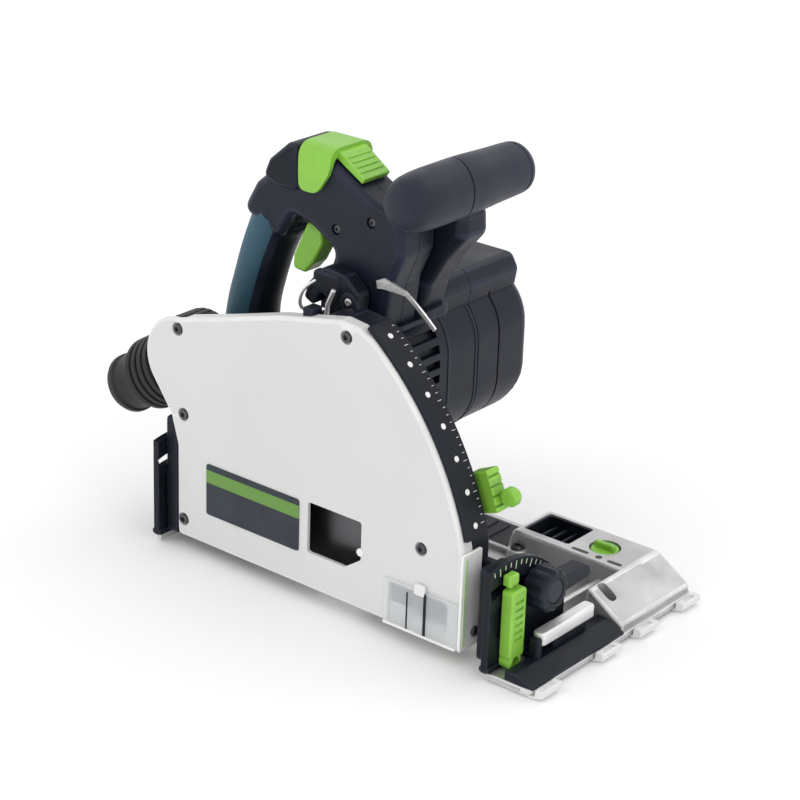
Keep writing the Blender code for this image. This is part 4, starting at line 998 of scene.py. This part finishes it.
def build_drive():
    flanges = (("inner", -55.1, -50.6), ("outer", -61.4, -56.9))
    on_blade("blade_plate", blade_plate(), "blade_steel", "saw_blade", sharp=30)
    on_blade("blade_tips", blade_tips(), "carbide")
    for name, low, high in flanges:
        on_blade(f"blade_flange_{name}", flange(low, high), "steel", f"{name}_flange")
    profile = [(0, -66), (7.6, -66), (9, -64.8), (9, -62.1), (3.2, -62.1), (3.2, -46), (0, -46)]
    socket = slab("y", circle(SPINDLE, 3.0, 6), -80, -63.5, 0)
    on_blade("blade_screw", cut(turned("y", SPINDLE, profile, 40), socket), "dark_steel", "clamp_screw")


# Motor unit

def strap(first, first_radius, second, second_radius, steps=18):
    """Outline round two circles."""
    run = hypot(second[0] - first[0], second[1] - first[1])
    heading = degrees(atan2(second[1] - first[1], second[0] - first[0]))
    lean = degrees(atan2(sqrt(run ** 2 - (first_radius - second_radius) ** 2), first_radius - second_radius))
    near = arc(first, first_radius, heading + lean, heading + 360 - lean, steps * 2)
    far = arc(second, second_radius, heading - lean, heading + lean, steps)
    return near + far


def gear_case():
    low, high = -42.5, -22.3
    motor_end = (-15, 112)
    case = slab("y", strap(motor_end, 38, SPINDLE, 21), low, high, 1.6, 0.4)
    arm = slab("y", strap(motor_end, 38, PIVOT, 12), low, high, 1.6, 0.4)
    nose = disc("y", SPINDLE, 17.5, -50, low + 2, 1.0)
    solid = join(case, arm, nose)
    cutters = [slab("y", strap(SPINDLE, 19.2, MOTOR_AXIS, 9), -39.5, 0, 0), disc("y", SPINDLE, 14.3, -60, -30, 0),
               disc("y", PIVOT, 6.4, -60, 0, 0)]
    for inner, outer, start, end in ((26, 30, 20, 150), (18, 22, 30, 140)):
        cutters.append(slab("y", ring_part(motor_end, outer, inner, start, end, 20), low - 5, low + 0.9, 0))
    return cut(solid, *cutters)


def round_box(low_a, low_b, high_a, high_b, radius, steps=10):
    corners = [((high_a - radius, low_b + radius), -90), ((high_a - radius, high_b - radius), 0),
               ((low_a + radius, high_b - radius), 90), ((low_a + radius, low_b + radius), 180)]
    return [p for centre, start in corners for p in arc(centre, radius, start, start + 90, steps)]


def motor_shape(shrink=0.0):
    return round_box(MOTOR_X[0] + shrink, MOTOR_Z[0] + shrink, MOTOR_X[1] - shrink, MOTOR_TOP - shrink,
                     36 - shrink)


def roof_shape(shrink=0.0):
    low, high, top = -47 + shrink, 7 - shrink, ROOF_Z - shrink
    return fillet([(low, 165), (high, 165), (high + 2, 177), (high - 4, top), (low + 4, top), (low - 2, 177)],
                  [0, 0, 7, 7, 7, 7], 4)


def motor_body():
    near, seam = MOTOR_Y[0], MOTOR_Y[1]
    shell = slab("y", motor_shape(), near, seam, 1.2)
    ribs = [slab("y", motor_shape(-0.5), y, y + 2.2, 0.4) for y in (44, 72.6)]
    saddle = block((-40, near, 172), (20, 40, 175.6), 6, 0.8)
    roof = slab("y", roof_shape(), ROOF_FRONT_Y, seam, 3.0, 0.3)
    solid = join(shell, *ribs, saddle, roof)
    room = join(slab("y", motor_shape(2.5), near - 5, seam + 5, 0),
                slab("y", roof_shape(2.5), ROOF_FRONT_Y + 2.5, seam + 5, 0))
    vents = [block((-18, 8, z), (30, 36, z + 5.6), 0.1, 0, "x") for z in range(104, 168, 10)]
    side_vents = [block((-80, 8, z), (-50, 36, z + 5.6), 0.1, 0, "x") for z in range(104, 138, 10)]
    dial_way = block((-75, 46, SPEED_DIAL[1] - 11), (-58, 54, SPEED_DIAL[1] + 11), 1, 0)
    return cut(solid, room, *vents, *side_vents, dial_way)


def far_slope(gap=0.0):
    """Wedge that tapers the motor's lower far end; the gap moves its face inwards."""
    face_y = MOTOR_Y[2] - gap
    return slab("x", [(face_y - 26, 50), (160, 50), (160, 120), (face_y + 0.01, 120)], -90, 40, 0)


def motor_cap():
    near, far = MOTOR_Y[1] + 0.3, MOTOR_Y[2]
    shell = slab("y", motor_shape(), near, far, 0.8, 9.0, 6)
    shell = join(bevelled(cut(shell, far_slope()), 1.4, 2, 30), slab("y", roof_shape(), near, far - 3, 0.3, 5.5))
    hollow = cut(slab("y", motor_shape(2.8), 0, 112, 0), far_slope(3.2))
    room = join(hollow, slab("y", roof_shape(2.8), 60, 112, 0))
    vents = [block((-46 + short, 112, z), (1 - short, 150, z + 4.4), 0, 0, "x")
             for z, short in ((126, 0), (134, 2), (142, 5), (150, 10))]
    vents += [pocket(x, 84, x + 4.5, 108, 2, 60, 90) for x in (-44, -34, -24, -14, -4)]
    return cut(shell, room, *vents)


TOP_BODY = [(16, 175.8), (20, 205), (29, 226), (29, 246), (2, 257), (-28, 274), (-50, 276), (-74, 263),
            (-93, 247), (-104.5, 226.5), (-72, 213), (-67, 224), (-62, 233), (-46, 229), (-25, 217),
            (-38, 186), (-38, 175.8)]
TOP_RADII = [0, 12, 9, 9, 20, 14, 14, 14, 12, 8, 8, 8, 8, 8, 8, 9, 0]
LOWER_ARM = [(-62.6, 82), (-105, 84), (-126, 98), (-131, 118), (-126, 124), (-94, 124), (-86, 118), (-62.6, 112)]
ARM_RADII = [0, 14, 14, 8, 5, 8, 8, 0]
HANDLE_SCREWS = [(4, 243), (-40, 262), (-24, 232), (-2, 196), (-112, 104)]
HANDLE_SCREW_SINK = 2.4
GRIP_PATH = [(-109, 124), (-110, 142), (-107.5, 160), (-102.5, 178), (-96, 198), (-88, 217), (-83, 226)]


def handle_half(low, high, outward, seat):
    rims = (5.5, 0.25) if outward < 0 else (0.25, 5.5)
    solid = merge(*[slab("y", fillet(points, radii, 5), low, high, *rims, 5)
                    for points, radii in ((TOP_BODY, TOP_RADII), (LOWER_ARM, ARM_RADII))])
    room = block((-54, HANDLE_Y - 13.5, 231), (-12, HANDLE_Y + 13.5, 262), 2, 0)
    way = block((-66, HANDLE_Y - 9.3, 212), (-42, HANDLE_Y + 9.3, 240), 1, 0)
    ends = sorted((seat, seat + outward * 7.4))
    return cut(solid, room, way, merge(*[disc("y", spot, 3.6, *ends, 0, 24) for spot in HANDLE_SCREWS]))


def grip_section(share):
    """Oval section, a little slimmer at the waist."""
    size = 1.0 - 0.07 * sin(pi * min(1.0, share * 1.05)) - 0.10 * max(0.0, share - 0.9) * 10 * 0.4
    return [(17.6 * size * cos(a), 18.3 * size * sin(a)) for a in (2 * pi * n / 36 for n in range(36))]


def grip_inlay_section(share):
    """Thin crescent on the finger side of the grip."""
    size = 1.0 - 0.07 * sin(pi * min(1.0, share * 1.05))
    outer = [(18.5 * size * cos(radians(a)), 19.0 * size * sin(radians(a))) for a in range(-58, 59, 9)]
    inner = [(15.0 * size * cos(radians(a)), 15.4 * size * sin(radians(a))) for a in range(58, -59, -9)]
    return outer + inner


def lock_slide():
    outer_yz = fillet([(-25.4, 240), (15.4, 240), (15.4, 283), (-25.4, 283)], [0, 0, 11, 11], 7)
    band = slab("x", outer_yz, -56, -24, 1.6)
    inside = slab("x", fillet([(-22.4, 200), (12.4, 200), (12.4, 277.4), (-22.4, 277.4)], [0, 0, 7, 7], 5),
                  -70, 0, 0)
    shape = slab("y", fillet([(-52.5, 252.5), (-38, 252.5), (-29, 266), (-27, 272), (-27, 290), (-53, 290),
                              (-53, 264)], [7, 9, 4, 2, 0, 0, 3], 6), -40, 40, 0)
    saddle = combine("INTERSECT", cut(band, inside), shape)
    slope = fillet([(-34, 277.9), (-27.5, 275.3), (-8, 264.2), (-5.8, 267.4), (-25, 280.2), (-34, 282.4)],
                   [0, 0, 0, 1.2, 6, 0])
    rest = slab("y", slope, HANDLE_Y - 12.5, HANDLE_Y + 12.5, 0.7)
    ribs = []
    for number in range(4):
        x = -21 + 3.6 * number
        top = 277.6 - 0.64 * 3.6 * number
        ribs.append(moved(block((-0.8, HANDLE_Y - 10.5, -2.2), (0.8, HANDLE_Y + 10.5, 0.7), 0.7, 0.4, "y"),
                          Matrix.Translation((x, 0, top)) @ Matrix.Rotation(radians(32), 4, "Y")))
    return join(saddle, rest, *ribs)


def build_front_handle():
    """Bar across the saw in two turned halves, parted by a slanted seam, on its neck."""
    x, z = FRONT_HANDLE
    near, far = FRONT_HANDLE_Y
    root = [(radius, near + reach) for radius, reach in
            ((0, 0), (6.5, 0.3), (10.6, 1.4), (13.8, 3.6), (16.2, 7.6), (17.7, 13), (18.5, 20), (18.9, 30))]
    grip = [(18.9, 26), (18.5, 36), (18.0, 46), (17.6, 56), (17.3, far - 14)]
    grip += [(radius, far + reach) for radius, reach in
             ((17.1, -9.3), (16.5, -8.8), (16.5, -8.0), (17.0, -7.4), (16.6, -4.5), (14.9, -2.1), (11.6, -0.6),
              (6.4, -0.1), (0, 0))]
    seam = Vector((x, 18, z))
    tilt = Matrix.Translation(seam) @ Matrix.Rotation(radians(-16), 4, "Z") @ Matrix.Translation(-seam)
    for name, profile, ends, node in (
            ("grip", [(0, 6), (19.0, 6)] + grip, (18.6, 160), "front_handle_grip"),
            ("root", root + [(19.0, 17), (19.0, 30), (0, 30)], (-80, 17.6), "front_handle_neck")):
        half = moved(block((x - 60, ends[0], z - 60), (x + 60, ends[1], z + 60), 1, 0), tilt)
        solid = combine("INTERSECT", turned("y", FRONT_HANDLE, profile, 64), half)
        on_motor(f"front_bar_{name}", bevelled(solid, 0.5, 2, 60), "soft_grip", node)
        if name == "grip":
            on_motor("front_bar_seam", disc("y", FRONT_HANDLE, 18.4, 8, 28, 0.5, 56), "black_plastic")
    outline = [(-30, 175.8), (16, 175.8), (22, 196), (34, 216), (49, 234), (48, 250), (26, 251), (6, 240),
               (-18, 216)]
    neck = slab("y", fillet(outline, [0, 0, 14, 20, 8, 5, 5, 14, 12], 6), 12.4, 40, 7, 7, 5)
    on_motor("front_bar_neck", join(neck, block((-34, 11, 172), (21, 41, 179), 8, 1.5)), "housing_plastic")


def build_handle():
    halves = (("right", HANDLE_Y - HANDLE_HALF, HANDLE_Y - HANDLE_GAP / 2),
              ("left", HANDLE_Y + HANDLE_GAP / 2, HANDLE_Y + HANDLE_HALF))
    for name, low, high in halves:
        outward, face = (-1, low) if name == "right" else (1, high)
        seat = face - outward * HANDLE_SCREW_SINK
        half = handle_half(low, high, outward, seat)
        on_motor(f"handle_half_{name}", half, "housing_plastic", f"handle_shell_{name}")
        if name == "right":
            heads = merge(*[screw("y", spot, seat + 0.02, 2.9, -1) for spot in HANDLE_SCREWS])
            on_motor("handle_screws", heads, "dark_steel")
    brow = fillet([(-84, 254), (-72, 249), (-54.7, 250), (-54.7, 281), (-63, 280), (-79, 266)],
                  [5, 6, 4, 3.6, 6, 7], 5)
    on_motor("handle_brow", slab("y", brow, HANDLE_Y - 19.4, HANDLE_Y + 19.4, 3, 3, 5), "black_plastic")
    path = smooth_path([(x, HANDLE_Y, z) for x, z in GRIP_PATH], 34)
    on_motor("grip_sleeve", sweep(path, grip_section), "grip_rubber", "handle_grip")
    path = smooth_path([(x, HANDLE_Y, z) for x, z in GRIP_PATH[1:]], 28)
    on_motor("grip_inlay", sweep(path, grip_inlay_section), "black_plastic")


def build_motor_unit():
    on_motor("drive_case", gear_case(), "housing_plastic", "gear_case")
    for number, spot in enumerate([(-49, 96), (-42, 136), (-12, 146), (19, 122)], 1):
        on_motor(f"case_bolt_{number}", screw("y", spot, -42.4, 2.6, -1), "dark_steel")
    on_motor("motor_shell", motor_body(), "housing_plastic", "motor_housing")
    liner = cut(slab("y", motor_shape(4), -4, 98, 0), slab("y", motor_shape(5.2), -6, 106, 0), far_slope(4.5))
    on_motor("motor_liner", liner, "black_plastic")
    trench = cut(slab("y", motor_shape(-3), 97.6, 99.2, 0), slab("y", motor_shape(0.9), 97.5, 99.7, 0))
    on_motor("motor_rear_cap", cut(motor_cap(), trench), "housing_plastic", "motor_end_cap")
    on_motor("cap_baffle", block((-50, 108, 120), (6, 109.5, 160), 3, 0.3, "y"), "black_plastic")
    build_handle()
    build_front_handle()
    profile = [(9.8, -152), (9.8, -136), (0, -136), (0, -131.6), (12.5, -131.6), (12.5, -137), (11.6, -138),
               (11.6, -143), (12.5, -144), (12.5, -151), (11.8, -152)]
    y, z = INLET_YZ
    on_motor("inlet_socket", turned("x", INLET_YZ, profile, 48), "black_plastic", "power_inlet")
    pins = [disc("x", (y + across, z + up), 1.3, -147, -135.8, 0.4, 14)
            for across, up in ((-4, 2), (4, 2), (0, -4))]
    on_motor("inlet_pins", merge(*pins), "steel")
    pull = [(-56, 227), (-45, 226), (-43, 215), (-51, 200), (-57.5, 192.5), (-67.5, 193.5), (-67, 203), (-62, 214)]
    finger = slab("y", fillet(pull, [2, 2, 5, 6, 3.4, 3.4, 6, 6], 5), -13, 3, 2.2, 2.2, 4)
    lines = [moved(block((-3, HANDLE_Y - 5, -0.4), (1.4, HANDLE_Y + 5, 0.4), 0.3, 0, "y"),
                   Matrix.Translation((-66.5 + 1.3 * n, 0, 195 + 4 * n))) for n in range(4)]
    piece("trigger_blade", cut(finger, merge(*lines)), "green_plastic", "trigger", "trigger")
    piece("lock_slide", lock_slide(), "green_plastic", "lock_off", "lock_off")
    shape = [(-12, 184), (6, 186), (7, 200), (-4, 210), (-22, 212), (-34, 199), (-38, 188), (-30, 184), (-24, 196)]
    lever = slab("y", fillet(shape, [3, 4, 4, 5, 6, 4, 3, 3, 4], 4), -36, -24, 2.0)
    lump = join(lever, block((-30, -37, 196), (-8, -30, 209), 4, 2.2, "y"),
                disc("y", LEVER_PIN, 6.5, -37.5, -26, 1.2, 32))
    lump = cut(lump, disc("y", LEVER_PIN, 3.6, -50, -35.5, 0, 24))
    piece("change_lever", lump, "black_plastic", "blade_change_lever", "blade_change_lever")
    piece("change_lever_pin", screw("y", LEVER_PIN, -35.7, 3.2, -1), "steel", "blade_change_lever")
    loop = smooth_path([(-37, -22.2, 176.8), (-38, -33, 178.5), (-38.5, -38, 184), (-35, -39, 194),
                        (-27, -36, 202), (-20, -29, 205), (-18, -22.2, 205)], 30)
    strut = merge(rod(loop, 1.1), rod([(-16, -39, 146), (-16, -39, 176), (-14, -40, 190), (-9, -40, 201)], 1.6))
    on_motor("lever_strut", strut, "bright_bar")
    wheel = slab("y", wavy(SPEED_DIAL, 9, 0.8, 24), 47, 53, 0.6)
    piece("speed_wheel", wheel, "green_plastic", "speed_dial", "speed_dial")


def finish_cad():
    """Give the CAD nodes that stay a detailed finish in place of their plain one."""
    looks = {"steel": "spindle rotor_shaft return_spring spindle_bearing_outer spindle_bearing_inner "
                      "motor_bearing_front motor_bearing_rear",
             "dark_steel": "spindle_gear pinion", "black_plastic": "cooling_fan switch_body",
             "cast_alloy": "bearing_bracket", "windings": "stator", "board": "control_board",
             "bright_bar": "depth_pointer"}
    for look, names in looks.items():
        for name in names.split():
            node = frame["nodes"][name]
            for held in node.material_slots:
                held.material = LOOKS[look]
            if not node.material_slots:
                node.data.materials.append(LOOKS[look])


# Stage

def area_light(name, place, aim, size, power):
    lamp = bpy.data.lights.new(name, "AREA")
    lamp.shape = "DISK"
    lamp.size = size
    lamp.energy = power
    made = placed(name, lamp)
    made.location = place
    made.rotation_euler = (Vector(aim) - Vector(place)).to_track_quat("-Z", "Y").to_euler()


def build_stage():
    mesh = bpy.data.meshes.new("floor")
    reach = 12.0
    mesh.from_pydata([(-reach, -reach, 0), (reach, -reach, 0), (reach, reach, 0), (-reach, reach, 0)], [],
                     [(0, 1, 2, 3)])
    floor = placed("floor", mesh)
    Shader("floor_paper", (0.97, 0.97, 0.97), 0.9, 0.0, 0.1)
    mesh.materials.append(LOOKS["floor_paper"])
    floor.location.z = -0.0004
    world = bpy.data.worlds.new("studio")
    world.use_nodes = True
    world.node_tree.nodes["Background"].inputs["Color"].default_value = (1, 1, 1, 1)
    world.node_tree.nodes["Background"].inputs["Strength"].default_value = 1.0
    bpy.context.scene.world = world
    aim = (0.02, 0, 0.12)
    area_light("key", (-0.6, -1.8, 1.9), aim, 1.4, 5)
    area_light("fill", (2.0, -0.6, 1.2), aim, 1.6, 4)
    area_light("back", (0.4, 1.6, 1.9), aim, 1.4, 4)


def build_camera():
    lens = bpy.data.cameras.new("camera")
    camera = placed("camera", lens)
    aim = Vector((0.017, -0.004, 0.124))
    place = aim + Vector((0.697, -0.872, 0.475)) * 1.25
    roll = Matrix.Rotation(radians(2.0), 3, "Z")
    camera.location = place
    camera.rotation_euler = ((aim - place).to_track_quat("-Z", "Y").to_matrix() @ roll).to_euler()
    lens.lens = 108
    lens.sensor_width = 36
    lens.clip_end = 60
    bpy.context.scene.camera = camera


build_base()
build_guard()
build_bevel_controls()
build_drive()
build_motor_unit()
finish_cad()
build_stage()
build_camera()
bpy.context.scene.view_settings.view_transform = "Standard"
bpy.context.view_layer.update()
